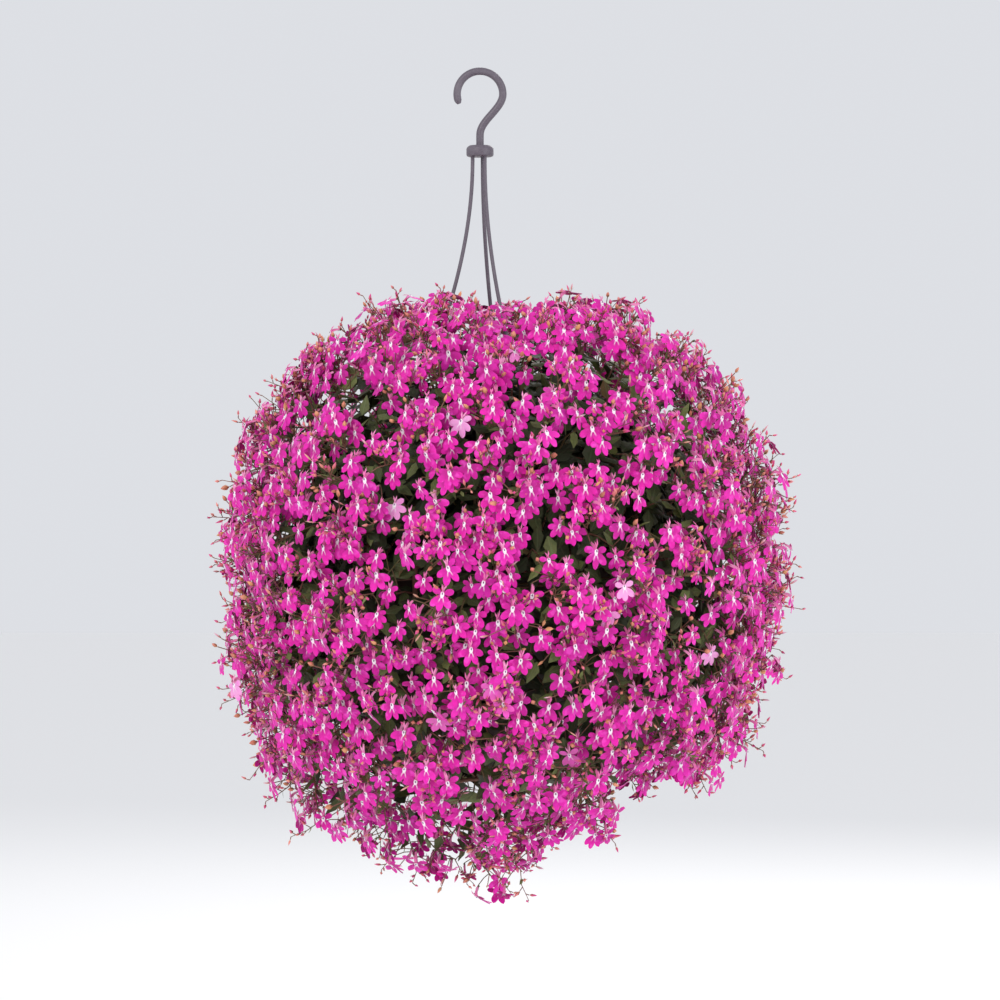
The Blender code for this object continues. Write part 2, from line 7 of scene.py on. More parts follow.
import bpy
import numpy as np
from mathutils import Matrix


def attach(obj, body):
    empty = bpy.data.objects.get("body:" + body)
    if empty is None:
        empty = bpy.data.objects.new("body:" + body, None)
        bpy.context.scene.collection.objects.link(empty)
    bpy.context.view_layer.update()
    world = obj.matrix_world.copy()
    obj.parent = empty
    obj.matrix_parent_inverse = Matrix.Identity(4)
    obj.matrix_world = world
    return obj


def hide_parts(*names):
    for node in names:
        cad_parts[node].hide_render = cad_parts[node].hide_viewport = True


MM = 0.001
TURN = 2 * math.pi
UP = np.array((0.0, 0.0, 1.0))
SEED = 11
SIDES = (1, -1)
GOLDEN_TURN = 2.4
SHARP_ANGLE = 75

# The photograph's frame: metres a pixel at the ball's middle, and where the hook's bearing lies in it
PIXEL = 0.000735
HOOK_PIXEL = (480, 75)
IMAGE = 1000
CAMERA_DISTANCE = 2.6
SENSOR = 36.0
FLOOR_REACH = 12.0
FLOOR_HEIGHT = -0.86

# The ball of growth, as in the solids
BALL_CENTRE = np.array((0.017, 0.0, -0.365))
BALL_RADIUS = 0.209
CORNER_SWELL = 0.06
TOP_DIP = 0.10
TOP_DIP_SPREAD = 0.045
BOTTOM_DROOP = 0.09
BOTTOM_SPREAD = 0.25

# Bays and bulges of the photographed outline: direction, share of the radius and spread. The depth is how
# fast they fade towards the back and front, where 1 is as fast as in the picture's plane.
OUTLINE = (
    ((0.08, 0.0, -0.99), -0.09, 0.020),
    ((-0.20, 0.0, -0.98), 0.05, 0.014),
    ((0.33, 0.0, -0.94), -0.14, 0.035),
    ((0.63, 0.0, -0.78), -0.11, 0.045),
    ((-0.50, 0.0, -0.86), -0.04, 0.010),
    ((-0.70, 0.0, -0.71), 0.07, 0.060),
    ((-0.92, 0.0, -0.40), 0.03, 0.050),
    ((0.79, 0.0, -0.61), 0.05, 0.012),
    ((-0.95, 0.0, 0.20), -0.03, 0.080),
    ((-0.29, 0.0, 0.96), 0.05, 0.008),
    ((0.33, 0.0, 0.94), 0.02, 0.015),
)
OUTLINE_DEPTH = 0.45

# Rows of sprays: polar angle, count, first azimuth, azimuth where the stems leave the pot, core radius,
# radius of the stems' holes in the compost
ROWS = (
    (28, 3, 10, 10, 0.164, 0.030),
    (59, 6, 20, 40, 0.166, 0.058),
    (92, 6, 50, 50, 0.166, 0.088),
    (126, 6, 20, 30, 0.179, 0.088),
    (160, 3, 10, 10, 0.188, 0.088),
)
HEART_INSET = 0.030

# Shoots. The ball's top is bare where the strands enter, and its underside is thinner from a depth on.
SHOOTS = 445
SHOOT_START = 0.120
SHOOT_WIDTH = 1.5 * MM
BRANCH_RADIUS = 0.9 * MM
BARE_TOP = 0.988
THIN_FROM = 0.50
THIN_MOST = 0.65
WILD_SHARE = 0.15
WILD_REACH = 0.008

# What a shoot bears
FLOWERS_A_SHOOT = (6, 8)
FLOWER_TRIES = 4
FLOWER_STALK = (0.011, 0.023)
PEDICEL_WIDTH = 0.8 * MM
PODS_A_SHOOT = (3, 5)
POD_STALK = (0.012, 0.025)
LEAVES_A_SHOOT = 7
SPRIG_LENGTH = (0.016, 0.026)
SPRIG_RADII = (0.45 * MM, 0.36 * MM, 0.28 * MM)
BUDS_A_SPRIG = (3, 5)

# Leaves behind the flowers, with painted shade that darkens them the deeper they lie, and dark ones in the
# heart above the compost whose darkness is painted shade, at shares of the ball's radius
INNER_LEAVES = 3900
INNER_DEPTH = (0.60, 0.87)
INNER_THIN_FROM = 0.25
INNER_THIN_MOST = 0.35
HEART_LEAVES = 1500
HEART_DEPTH = (0.48, 0.60)
HEART_LOWEST = 0.2
HEART_LEAF_SIZE = 1.7

# Flower, in millimetres. Each lobe: length and width. A turned flower has a pair of lobes for its lip.
FLOWER_SCALE = 0.97 * MM
FADED_SHARE = 0.015
LOBE_THICKNESS = 0.3
LIP_LOBE = (11.6, 5.0)
LOWER_LOBE = (10.6, 5.2)
SIDE_LOBE = (7.6, 5.0)
TURNED_LIP_LOBE = (11.6, 5.2)
TURNED_LOWER_LOBE = (9.4, 5.2)
TURNED_SIDE_LOBE = (7.4, 4.4)
TURNED_SHARE = 0.35
LONG_LOBE = 9.0
CREST_HEIGHT = (5.0, 7.0)
CREST_WIDTH = 1.6
TUBE_RISE = (3.6, 5.4)
TUBE_RADII = (1.6, 1.25, 0.9)
CALYX_SIZE = 2.8
CALYX_TEETH = 2

# White eye, and the dark patch of painted shade where the throat opens: length, width, upper end, height
# over the face, rings
EYE_FORM = (4.5, 2.3, 2.0, 0.5, 3)
THROAT_SHADE_FORM = (2.2, 1.1, 1.2, 1.05, 2)
EYE_FLATNESS = 0.6

# Buds, ripening pods and spent flowers, in millimetres: least and most length, the same for width, taper
BUD_FORMS = (
    ((4.5, 7.0), (2.2, 3.1), 0.72),
    ((4.2, 6.0), (2.6, 3.6), 0.85),
    ((6.0, 9.0), (1.2, 1.7), 1.0),
)
BUD_TOOTH_ANGLE = 0.3

# Material numbers in the flowers' meshes, and kinds of bud
PETAL, EYE, THROAT_SHADE, TUBE, CALYX = range(5)
BUD, POD, SPENT = range(3)

# Small organs: colour at the root, at the end, of those with a high tone and of the grain, and roughness
ORGANS = {
    "eye": ((0.93, 0.88, 0.92), (0.93, 0.88, 0.92), (0.97, 0.93, 0.95), (0.85, 0.62, 0.80), 0.50),
    # The throat's dark colours are painted shade
    "throat": ((0.16, 0.03, 0.14), (0.16, 0.03, 0.14), (0.30, 0.10, 0.30), (0.06, 0.01, 0.05), 0.50),
    "tube": ((0.80, 0.16, 0.42), (0.72, 0.20, 0.40), (0.86, 0.34, 0.58), (0.62, 0.08, 0.32), 0.60),
    "calyx": ((0.075, 0.085, 0.030), (0.14, 0.085, 0.040), (0.20, 0.050, 0.060), (0.05, 0.06, 0.02), 0.60),
    "bud": ((0.66, 0.12, 0.13), (0.76, 0.07, 0.32), (0.84, 0.36, 0.24), (0.45, 0.06, 0.10), 0.42),
    "pod": ((0.46, 0.21, 0.09), (0.76, 0.25, 0.18), (0.78, 0.37, 0.15), (0.34, 0.13, 0.07), 0.45),
    "spent": ((0.56, 0.20, 0.17), (0.82, 0.48, 0.62), (0.70, 0.38, 0.22), (0.35, 0.13, 0.13), 0.70),
}

# Pot
RIM_TOP = -0.360
POT_HEIGHT = 0.140
RIM_RADIUS = 0.112
RIM_BAND = 0.016
SHOULDER_RADIUS = 0.107
BASE_RADIUS = 0.071
WALL = 0.0022
POT_SIDES = 96
LUG_RADIUS = 0.0046
LUG_DEPTH = 0.014
RIM_STEPS = 8
DRAIN_HOLES = 5
DRAIN_RADIUS = 0.004
DRAIN_RING = 0.045
DRAIN_FIRST = 18

# Hook and strands
HOOK_ROD = 0.0056
HOOK_INNER_RADIUS = 0.0140
HOOK_OPEN_ANGLE = 205
ARC_POINTS = 48
SHANK_POINTS = 16
COLLAR_TOP = -0.0520
COLLAR_HEIGHT = 0.0080
COLLAR_RADIUS = 0.0100
STRAND_DIAMETER = 0.0028
STRAND_SOCKET_DEPTH = 0.0047
STRAND_TOP_RADIUS = 0.0055
STRAND_AZIMUTHS = (70, 190, 310)
STRAND_POINTS = 40


def unit(vector):
    vector = np.asarray(vector, float)
    return vector / max(np.linalg.norm(vector), 1e-9)


def near(way, centre, spread, depth=1.0):
    return math.exp(-float((((way - unit(centre)) * (1.0, depth, 1.0)) ** 2).sum()) / spread)


def surface_radius(way):
    """Distance from the ball's centre to its surface of flowers."""
    square = CORNER_SWELL * (1 - float((way**4).sum()))
    dip = TOP_DIP * near(way, (-0.08, 0, 1), TOP_DIP_SPREAD)
    droop = BOTTOM_DROOP * near(way, (-0.26, 0, -1), BOTTOM_SPREAD)
    bays = sum(share * near(way, centre, spread, OUTLINE_DEPTH) for centre, share, spread in OUTLINE)
    return BALL_RADIUS * (1 + square - dip + droop + bays)


def around(radius, degrees, height):
    angle = math.radians(degrees)
    return np.array((radius * math.cos(angle), radius * math.sin(angle), height))


def direction(polar, azimuth):
    sine = math.sin(math.radians(polar))
    turn = math.radians(azimuth)
    return np.array((sine * math.cos(turn), sine * math.sin(turn), math.cos(math.radians(polar))))


def basis(forward, up):
    """Columns right, up and forward of a right-handed frame that looks along forward."""
    forward = unit(forward)
    right = np.cross(up, forward)
    if np.linalg.norm(right) < 1e-6:
        right = np.cross((0.0, 1.0, 0.0), forward)
    right = unit(right)
    return np.stack((right, np.cross(forward, right), forward), axis=1)


class Shape:
    """A prototype: points, triangles, a mark of three numbers a point, and a material number a triangle."""

    def __init__(self):
        self.points, self.faces, self.marks, self.kinds = [], [], [], []

    def add(self, points, faces, kind, marks=None):
        """Adds one closed form, with its faces turned outwards. Marks that aren't given are 0."""
        points, faces = np.asarray(points, float), np.asarray(faces, int)
        if marks is None:
            marks = np.zeros(points.shape)
        a, b, c = (points[faces[:, i]] - points.mean(axis=0) for i in range(3))
        if float((a * np.cross(b, c)).sum()) < 0:
            faces = faces[:, ::-1]
        first = sum(len(p) for p in self.points)
        self.points.append(points)
        self.faces.append(faces + first)
        self.marks.append(np.asarray(marks, float))
        self.kinds.append(np.full(len(faces), kind))

    def joined(self):
        return [np.concatenate(part) for part in (self.points, self.faces, self.marks, self.kinds)]


class Growth:
    """Copies of shapes gathered into one mesh."""

    def __init__(self):
        self.points, self.faces, self.marks, self.kinds = [], [], [], []
        self.count = 0

    def put(self, shape, axes, place, tone, scale=1.0):
        points, faces, marks, kinds = shape
        self.points.append((points * scale) @ axes.T + place)
        self.faces.append(faces + self.count)
        toned = marks.copy()
        toned[:, 2] = tone
        self.marks.append(toned)
        self.kinds.append(kinds)
        self.count += len(points)

    def made(self, name, finishes):
        points = np.concatenate(self.points)
        faces = np.concatenate(self.faces)
        mesh = bpy.data.meshes.new(name)
        mesh.vertices.add(len(points))
        mesh.vertices.foreach_set("co", points.astype(np.float32).ravel())
        mesh.loops.add(len(faces) * 3)
        mesh.loops.foreach_set("vertex_index", faces.astype(np.int32).ravel())
        mesh.polygons.add(len(faces))
        mesh.polygons.foreach_set("loop_start", np.arange(0, len(faces) * 3, 3, dtype=np.int32))
        mesh.polygons.foreach_set("material_index", np.concatenate(self.kinds).astype(np.int32))
        mark = mesh.attributes.new("mark", "FLOAT_VECTOR", "POINT")
        mark.data.foreach_set("vector", np.concatenate(self.marks).astype(np.float32).ravel())
        for finish in finishes:
            mesh.materials.append(finish)
        mesh.update(calc_edges=True)
        mesh.shade_smooth()
        mesh.set_sharp_from_angle(angle=math.radians(SHARP_ANGLE))
        piece = bpy.data.objects.new(name, mesh)
        bpy.context.collection.objects.link(piece)
        return piece


def blade(rows):
    """A thin closed leaf from rows of three points, left, middle and right: two raised faces and a flat
    back. Returns points and triangles."""
    rows = np.asarray(rows, float)
    count = len(rows)
    at = np.arange(count * 3).reshape(count, 3)
    left, middle, right = at[:, 0], at[:, 1], at[:, 2]
    faces = []
    for i in range(count - 1):
        for a, b in ((left, middle), (middle, right)):
            faces += [(a[i], a[i + 1], b[i + 1]), (a[i], b[i + 1], b[i])]
        faces += [(left[i], right[i + 1], left[i + 1]), (left[i], right[i], right[i + 1])]
    faces += [(left[0], middle[0], right[0]), (left[-1], right[-1], middle[-1])]
    return rows.reshape(-1, 3), np.array(faces)


def pipe(path, radii, sides):
    """A closed round tube along a path."""
    path = np.asarray(path, float)
    radii = np.broadcast_to(radii, len(path))
    ways = np.gradient(path, axis=0)
    spoke = np.cross(ways[0], (0.3, 0.2, 0.93))
    if np.linalg.norm(spoke) < 1e-9:
        spoke = np.cross(ways[0], (1.0, 0.0, 0.0))
    points = []
    for place, way, radius in zip(path, ways, radii):
        way = unit(way)
        spoke = unit(spoke - way * spoke.dot(way))
        beside = np.cross(way, spoke)
        angles = np.arange(sides) * TURN / sides
        ring = np.outer(np.cos(angles), spoke) + np.outer(np.sin(angles), beside)
        points.append(place + radius * ring)
    faces = []
    for i in range(len(path) - 1):
        for j in range(sides):
            a, b = i * sides + j, i * sides + (j + 1) % sides
            faces += [(a, b, b + sides), (a, b + sides, a + sides)]
    last = (len(path) - 1) * sides
    for j in range(1, sides - 1):
        faces += [(0, j + 1, j), (last, last + j, last + j + 1)]
    return np.concatenate(points), np.array(faces)


def egg(length, width, rings, sides, taper=1.0):
    """A closed egg along +Z from 0 to its length, fuller towards its far end where taper is under 1."""
    points, faces = [(0.0, 0.0, 0.0)], []
    for i in range(1, rings):
        share = i / rings
        radius = width / 2 * math.sin(math.pi * share**taper)
        for j in range(sides):
            angle = TURN * j / sides
            points.append((radius * math.cos(angle), radius * math.sin(angle), length * share))
    points.append((0.0, 0.0, length))
    for j in range(sides):
        faces.append((0, 1 + (j + 1) % sides, 1 + j))
        for i in range(rings - 2):
            a, b = 1 + i * sides + j, 1 + i * sides + (j + 1) % sides
            faces += [(a, b, b + sides), (a, b + sides, a + sides)]
        low = 1 + (rings - 2) * sides
        faces.append((low + j, low + (j + 1) % sides, len(points) - 1))
    return np.array(points), np.array(faces)


def marked(first, second):
    """Marks with two numbers a point. The third, the tone, is set where the shape is put."""
    return np.stack((first, second, np.zeros(len(first))), 1)


def lobe(length, width, turn, curl, draw, rows):
    """One petal lobe with its face to +Z, from the throat outwards at an angle from -Y, broad and blunt."""
    grid = []
    bend = draw.uniform(-0.5, 0.5)
    lift = draw.uniform(0.0, 0.35)
    start = 0.6
    full = 0.64
    for i in range(rows):
        share = math.sin(math.pi / 2 * i / (rows - 1))
        if share < full:
            half = width / 2 * (0.26 + 0.74 * math.sin(math.pi / 2 * share / full))
        else:
            half = width / 2 * math.sqrt(1 - ((share - full) / (1 - full) * 0.93) ** 2)
        reach = start + (length - start) * share
        for over in (-1, 0, 1):
            y = reach + (0.05 * length * share if over == 0 else 0.0)
            z = curl * share**2 * length + lift + LOBE_THICKNESS * (1 - abs(over)) + bend * over * share
            z -= 0.12 * half * abs(over)
            grid.append((over * half, -y, z))
    grid = np.array(grid)
    cosine, sine = math.cos(turn), math.sin(turn)
    turned = grid.copy()
    turned[:, 0] = grid[:, 0] * cosine - grid[:, 1] * sine
    turned[:, 1] = grid[:, 0] * sine + grid[:, 1] * cosine
    return blade(turned.reshape(rows, 3, 3))


def lobe_plan(draw):
    """The lobes below a flower's crest: angle from straight down in degrees, length and width."""
    spread = draw.uniform(32, 42)
    wide = draw.uniform(88, 114)
    plan = [(draw.uniform(-5, 5), *LIP_LOBE)]
    plan += [(side * spread, *LOWER_LOBE) for side in SIDES]
    plan += [(side * wide, *SIDE_LOBE) for side in SIDES]
    if draw.random() < TURNED_SHARE:
        plan = [(side * draw.uniform(17, 22), *TURNED_LIP_LOBE) for side in SIDES]
        plan += [(side * draw.uniform(60, 70), *TURNED_LOWER_LOBE) for side in SIDES]
        plan += [(draw.choice(SIDES) * draw.uniform(115, 130), *TURNED_SIDE_LOBE)]
    return plan


def add_flat_egg(shape, form, kind):
    """An eye or a throat: an egg laid along the lip and flattened."""
    length, width, top, lift, rings = form
    points, faces = egg(length, width, rings, 4)
    points = np.stack((points[:, 0], top - points[:, 2], points[:, 1] * EYE_FLATNESS + lift), 1)
    shape.add(points, faces, kind)


def add_crest(shape, draw):
    """Two narrow lobes that stand up over the eye and curl back."""
    for side in SIDES:
        lean = math.radians(draw.uniform(5, 20)) * side
        points, faces = egg(draw.uniform(*CREST_HEIGHT), CREST_WIDTH, 2, 3)
        up = points[:, 2]
        across = points[:, 0] + up * math.sin(lean)
        points = np.stack((across, 1.8 + up * math.cos(lean), points[:, 1] * 0.5 + 0.6 - 0.04 * up**2), 1)
        shape.add(points, faces, TUBE)


def add_tube(shape, draw):
    """The tube that runs up and back behind the face. Returns its foot, and the way it points there."""
    rise = draw.uniform(*TUBE_RISE)
    path = [(0, 0.9, 0.3), (0, 0.9 + rise * 0.6, -2.6), (0, 0.9 + rise, -6.4)]
    points, faces = pipe(path, TUBE_RADII, 3)
    shape.add(points, faces, TUBE, marked(np.zeros(len(points)), -points[:, 2] / 7))
    foot = np.array(path[-1])
    return foot, unit(foot - np.array(path[-2]))


def add_tooth(shape, low, beside, heel, tip, kind, along=0.0):
    """A thin three-sided tooth of a calyx."""
    points = (low + beside, low - beside, low + heel, tip)
    faces = ((0, 1, 3), (1, 2, 3), (2, 0, 3), (0, 2, 1))
    shape.add(points, faces, kind, marked(np.zeros(4), np.full(4, along)))


def add_calyx(shape, foot, back):
    """A cup round the tube's foot, with its teeth along the tube."""
    turned = basis(back, UP)
    points, faces = egg(CALYX_SIZE, CALYX_SIZE, 2, 3)
    shape.add(points @ turned.T + foot - back * 0.8, faces, CALYX)
    for i in range(CALYX_TEETH):
        angle = TURN * i / CALYX_TEETH + 0.4
        out = math.cos(angle) * turned[:, 0] + math.sin(angle) * turned[:, 1]
        tip = foot + out * 2.1 - back * 3.0
        add_tooth(shape, foot + out * 0.8, np.cross(back, out) * 0.38, back * 0.5, tip, CALYX)


def flower_shape(draw):
    """A flower that faces +Z with its lip along -Y, in millimetres: long lower lobes, shorter ones to the
    sides, a white eye round a dark patch of painted shade where the throat opens, a crest of two narrow
    lobes, and a tube that runs up and back. Returns the shape, and the place where its stalk ends."""
    shape = Shape()
    for degrees, length, width in lobe_plan(draw):
        size = draw.uniform(0.92, 1.06)
        curl, turn = draw.uniform(-0.26, 0.04), math.radians(degrees)
        points, faces = lobe(length * size, width * size, turn, curl, draw, 5 if length > LONG_LOBE else 4)
        shape.add(points, faces, PETAL, marked(points[:, 0], points[:, 1]))
    add_flat_egg(shape, EYE_FORM, EYE)
    # Painted shade: a dark patch where the throat opens
    add_flat_egg(shape, THROAT_SHADE_FORM, THROAT_SHADE)
    add_crest(shape, draw)
    foot, back = add_tube(shape, draw)
    add_calyx(shape, foot, back)
    return shape.joined(), foot + back * 1.6


def leaf_shape(draw, length, width, rows=6):
    """A toothed leaf along +Y with its face to +Z, in millimetres. Marks: across, along."""
    grid = []
    curl = draw.uniform(-0.34, 0.10)
    fold = draw.uniform(0.14, 0.32)
    twist = draw.uniform(-0.25, 0.25)
    for i in range(rows):
        share = i / (rows - 1)
        outline = math.sin(math.pi * min(1.0, share**0.75 * 0.97 + 0.03)) ** 0.8
        tooth = 1.06 if i % 2 else 0.86
        half = width / 2 * max(0.08, outline * tooth)
        line = []
        for over in (-1, 0, 1):
            z = -fold * abs(over) * half + curl * length * share**2 + twist * over * half * share
            line.append((over * half, length * share, z + 0.15 * (1 - abs(over))))
        grid.append(line[::-1])
    points, faces = blade(grid)
    shape = Shape()
    shape.add(points, faces, 0, marked(points[:, 0] / (width / 2), points[:, 1] / length))
    return shape.joined()


def bud_shape(draw, kind):
    """A bud, a ripening pod or a spent flower along +Z, in millimetres, with a tooth of its calyx."""
    lengths, widths, taper = BUD_FORMS[kind]
    length, width = draw.uniform(*lengths), draw.uniform(*widths)
    shape = Shape()
    points, faces = egg(length, width, 3, 4, taper)
    shape.add(points, faces, 1 + kind, marked(points[:, 0], points[:, 2] / length))
    out = np.array((math.cos(BUD_TOOTH_ANGLE), math.sin(BUD_TOOTH_ANGLE), 0.0))
    low = out * width * 0.30 + UP * 0.8
    tip = out * (width * 0.5 + 0.9) + UP * 3.4
    add_tooth(shape, low, np.cross(UP, out) * 0.4, -UP * 0.6, tip, 0, 0.2)
    return shape.joined()


def material(name, roughness):
    """A material, its node tree and its shader."""
    made = bpy.data.materials.new(name)
    made.use_nodes = True
    shader = made.node_tree.nodes["Principled BSDF"]
    shader.inputs["Roughness"].default_value = roughness
    return made, made.node_tree, shader


def node(tree, kind, **values):
    made = tree.nodes.new("ShaderNode" + kind)
    for key, value in values.items():
        setattr(made, key, value)
    return made


def linked(tree, source, target, socket):
    tree.links.new(source, target.inputs[socket])


def calc(tree, operation, *values):
    made = node(tree, "Math", operation=operation)
    for i, value in enumerate(values):
        if isinstance(value, (int, float)):
            made.inputs[i].default_value = value
        else:
            tree.links.new(value, made.inputs[i])
    return made.outputs[0]


def span(tree, value, low, high, out_low=0.0, out_high=1.0):
    """Maps a value from one range to another, smoothly and clamped."""
    made = node(tree, "MapRange", interpolation_type="SMOOTHSTEP")
    tree.links.new(value, made.inputs["Value"])
    for key, number in (("From Min", low), ("From Max", high), ("To Min", out_low), ("To Max", out_high)):
        made.inputs[key].default_value = number
    return made.outputs["Result"]


def mixed(tree, share, first, second):
    made = node(tree, "Mix", data_type="RGBA")
    for socket, value in ((0, share), (6, first), (7, second)):
        if isinstance(value, (int, float)):
            made.inputs[socket].default_value = value
        elif isinstance(value, tuple):
            made.inputs[socket].default_value = (*value, 1)
        else:
            tree.links.new(value, made.inputs[socket])
    return made.outputs[2]


def layered(tree, body, *layers):
    """Lays colours over a first one, each by its own share."""
    for share, colour in layers:
        body = mixed(tree, share, body, colour)
    return body


def noise(tree, scale, detail=3.0, roughness=0.6):
    made = node(tree, "TexNoise")
    made.inputs["Scale"].default_value = scale
    made.inputs["Detail"].default_value = detail
    made.inputs["Roughness"].default_value = roughness
    tree.links.new(node(tree, "TexCoord").outputs["Object"], made.inputs["Vector"])
    return made.outputs["Fac"]


def bumped(tree, shader, height, strength, distance):
    made = node(tree, "Bump")
    made.inputs["Strength"].default_value = strength
    made.inputs["Distance"].default_value = distance
    tree.links.new(height, made.inputs["Height"])
    linked(tree, made.outputs["Normal"], shader, "Normal")


def marks_of(tree):
    """The three numbers kept at each point: x or across, y or along, and tone."""
    found = node(tree, "Attribute", attribute_name="mark")
    split = node(tree, "SeparateXYZ")
    tree.links.new(found.outputs["Vector"], split.inputs[0])
    return split.outputs[0], split.outputs[1], split.outputs[2]


def squares(tree, x, y, share=1.0):
    """The square of one value, plus a share of the square of another."""
    second = calc(tree, "MULTIPLY", calc(tree, "MULTIPLY", y, y), share)
    return calc(tree, "ADD", calc(tree, "MULTIPLY", x, x), second)


def lines(tree, value, rate):
    """Falls to 0 in thin lines, closer together with a higher rate."""
    return calc(tree, "ABSOLUTE", calc(tree, "SINE", calc(tree, "MULTIPLY", value, rate)))


def petal_material():
    """Magenta with a white eye, two white streaks below it, fine veins and tone by flower. Painted light on
    top: painted shade towards the throat and on the darker flowers, painted highlight on the lighter
    flowers, and painted glints.
    """
    made, tree, shader = material("petal", 0.62)
    shader.inputs["Subsurface Weight"].default_value = 0.12
    shader.inputs["Subsurface Radius"].default_value = (0.002, 0.0006, 0.0012)
    shader.inputs["Sheen Weight"].default_value = 0.12
    shader.inputs["Sheen Roughness"].default_value = 0.5
    shader.inputs["Specular IOR Level"].default_value = 0.3
    x, y, tone = marks_of(tree)
    reach = calc(tree, "SQRT", squares(tree, x, y))
    vein = lines(tree, calc(tree, "ARCTAN2", x, y), 26.0)
    fine = noise(tree, 420.0, 4.0)
    cloud = noise(tree, 34.0, 2.0)
    glint = noise(tree, 190.0, 1.0)
    eye = span(tree, squares(tree, x, calc(tree, "ADD", y, 0.5), 0.26), 2.3, 1.1)
    from_lip = calc(tree, "ABSOLUTE", calc(tree, "ARCTAN2", x, calc(tree, "MULTIPLY", y, -1.0)))
    beside = calc(tree, "ABSOLUTE", calc(tree, "SUBTRACT", from_lip, 0.30))
    streak = calc(tree, "MULTIPLY", span(tree, beside, 0.14, 0.03), span(tree, reach, 7.0, 3.2, 0.0, 0.7))
    body = layered(
        tree,
        # Painted shade: each petal is darker towards the throat
        mixed(tree, span(tree, reach, 1.5, 10.0), (0.50, 0.003, 0.23), (0.80, 0.007, 0.40)),
        (span(tree, vein, 0.0, 0.35, 0.35, 0.0), (0.40, 0.002, 0.21)),
        (span(tree, fine, 0.50, 0.75, 0.0, 0.35), (0.88, 0.035, 0.52)),
        # Painted shade on the darker flowers and painted highlight on the lighter ones, by tone
        (span(tree, tone, 0.0, 0.35, 0.40, 0.0), (0.30, 0.002, 0.18)),
        (span(tree, tone, 0.62, 1.0, 0.0, 0.35), (0.90, 0.035, 0.55)),
        (span(tree, tone, 1.05, 1.4, 0.0, 0.8), (0.90, 0.50, 0.80)),
        (span(tree, cloud, 0.5, 0.8, 0.0, 0.25), (0.55, 0.004, 0.42)),
        # Painted highlight: pale glints of gloss laid into the petal colour
        (span(tree, glint, 0.54, 0.68, 0.0, 0.40), (0.95, 0.10, 0.66)),
        (calc(tree, "MAXIMUM", eye, streak), (0.95, 0.84, 0.92)),
    )
    linked(tree, body, shader, "Base Color")
    bumped(tree, shader, calc(tree, "ADD", calc(tree, "MULTIPLY", vein, 0.6), fine), 0.25, 0.0002)
    return made


def plain_organ(name, root, end, toned, grain, roughness):
    """A small soft organ: colours mixed along its length, by its tone and by a fine grain."""
    made, tree, shader = material(name, roughness)
    _, along, tone = marks_of(tree)
    fine = noise(tree, 300.0)
    body = layered(
        tree,
        mixed(tree, span(tree, along, 0.15, 0.85), root, end),
        (span(tree, tone, 0.4, 1.0, 0.0, 0.85), toned),
        (span(tree, fine, 0.4, 0.75, 0.0, 0.35), grain),
    )
    linked(tree, body, shader, "Base Color")
    bumped(tree, shader, fine, 0.3, 0.0002)
    return made


def leaf_material():
    """Dark green leaves with a paler midrib and side veins, purple-brown tips and tone by leaf. The low
    tones, given to leaves deep in the ball, are painted shade.
    """
    made, tree, shader = material("leaf", 0.48)
    shader.inputs["Specular IOR Level"].default_value = 0.30
    across, along, tone = marks_of(tree)
    side = calc(tree, "ABSOLUTE", across)
    slant = calc(tree, "SUBTRACT", along, calc(tree, "MULTIPLY", side, 0.22))
    fine = noise(tree, 260.0, 4.0)
    patch = noise(tree, 45.0, 2.0)
    side_veins = span(tree, lines(tree, slant, 19.0), 0.16, 0.0, 0.0, 0.55)
    rib = calc(tree, "MAXIMUM", span(tree, side, 0.16, 0.04), side_veins)
    body = layered(
        tree,
        # Tone runs from near black, painted shade deep in the ball, to the leaves' own green
        mixed(tree, span(tree, tone, 0.0, 1.0), (0.020, 0.024, 0.008), (0.205, 0.240, 0.075)),
        (span(tree, patch, 0.5, 0.75, 0.0, 0.45), (0.095, 0.125, 0.065)),
        (span(tree, fine, 0.45, 0.75, 0.0, 0.4), (0.030, 0.060, 0.018)),
        (span(tree, tone, 1.0, 1.35, 0.0, 0.85), (0.16, 0.085, 0.040)),
        (span(tree, along, 0.72, 1.0, 0.0, 0.30), (0.120, 0.050, 0.045)),
        (calc(tree, "MULTIPLY", rib, span(tree, tone, 0.0, 0.8, 0.08, 0.42)), (0.16, 0.22, 0.09)),
    )
    linked(tree, body, shader, "Base Color")
    linked(tree, span(tree, fine, 0.2, 0.8, 0.38, 0.62), shader, "Roughness")
    bumped(tree, shader, calc(tree, "SUBTRACT", fine, calc(tree, "MULTIPLY", rib, 1.2)), 0.45, 0.0003)
    return made


def stem_material():
    """Thin stems, from olive green to purple brown."""
    made, tree, shader = material("stem", 0.6)
    patch = noise(tree, 28.0, 3.0)
    fine = noise(tree, 500.0, 2.0)
    _, _, tone = marks_of(tree)
    body = layered(
        tree,
        mixed(tree, span(tree, tone, 0.0, 1.0), (0.120, 0.105, 0.034), (0.230, 0.078, 0.062)),
        (span(tree, patch, 0.4, 0.7, 0.0, 0.6), (0.150, 0.080, 0.042)),
    )
    linked(tree, body, shader, "Base Color")
    bumped(tree, shader, fine, 0.4, 0.0003)
    return made


def plastic(name, colour, worn, roughness, scale):
    """Moulded plastic with a fine grain, dust and scuffs."""
    made, tree, shader = material(name, roughness)
    grain = noise(tree, scale, 4.0)
    dust = noise(tree, scale / 30, 4.0, 0.7)
    body = layered(
        tree,
        mixed(tree, span(tree, dust, 0.45, 0.75, 0.0, 0.5), colour, worn),
        (span(tree, grain, 0.4, 0.8, 0.0, 0.25), worn),
    )
    linked(tree, body, shader, "Base Color")
    linked(tree, span(tree, dust, 0.3, 0.8, roughness - 0.08, roughness + 0.2), shader, "Roughness")
    bumped(tree, shader, grain, 0.3, 0.0003)
    return made


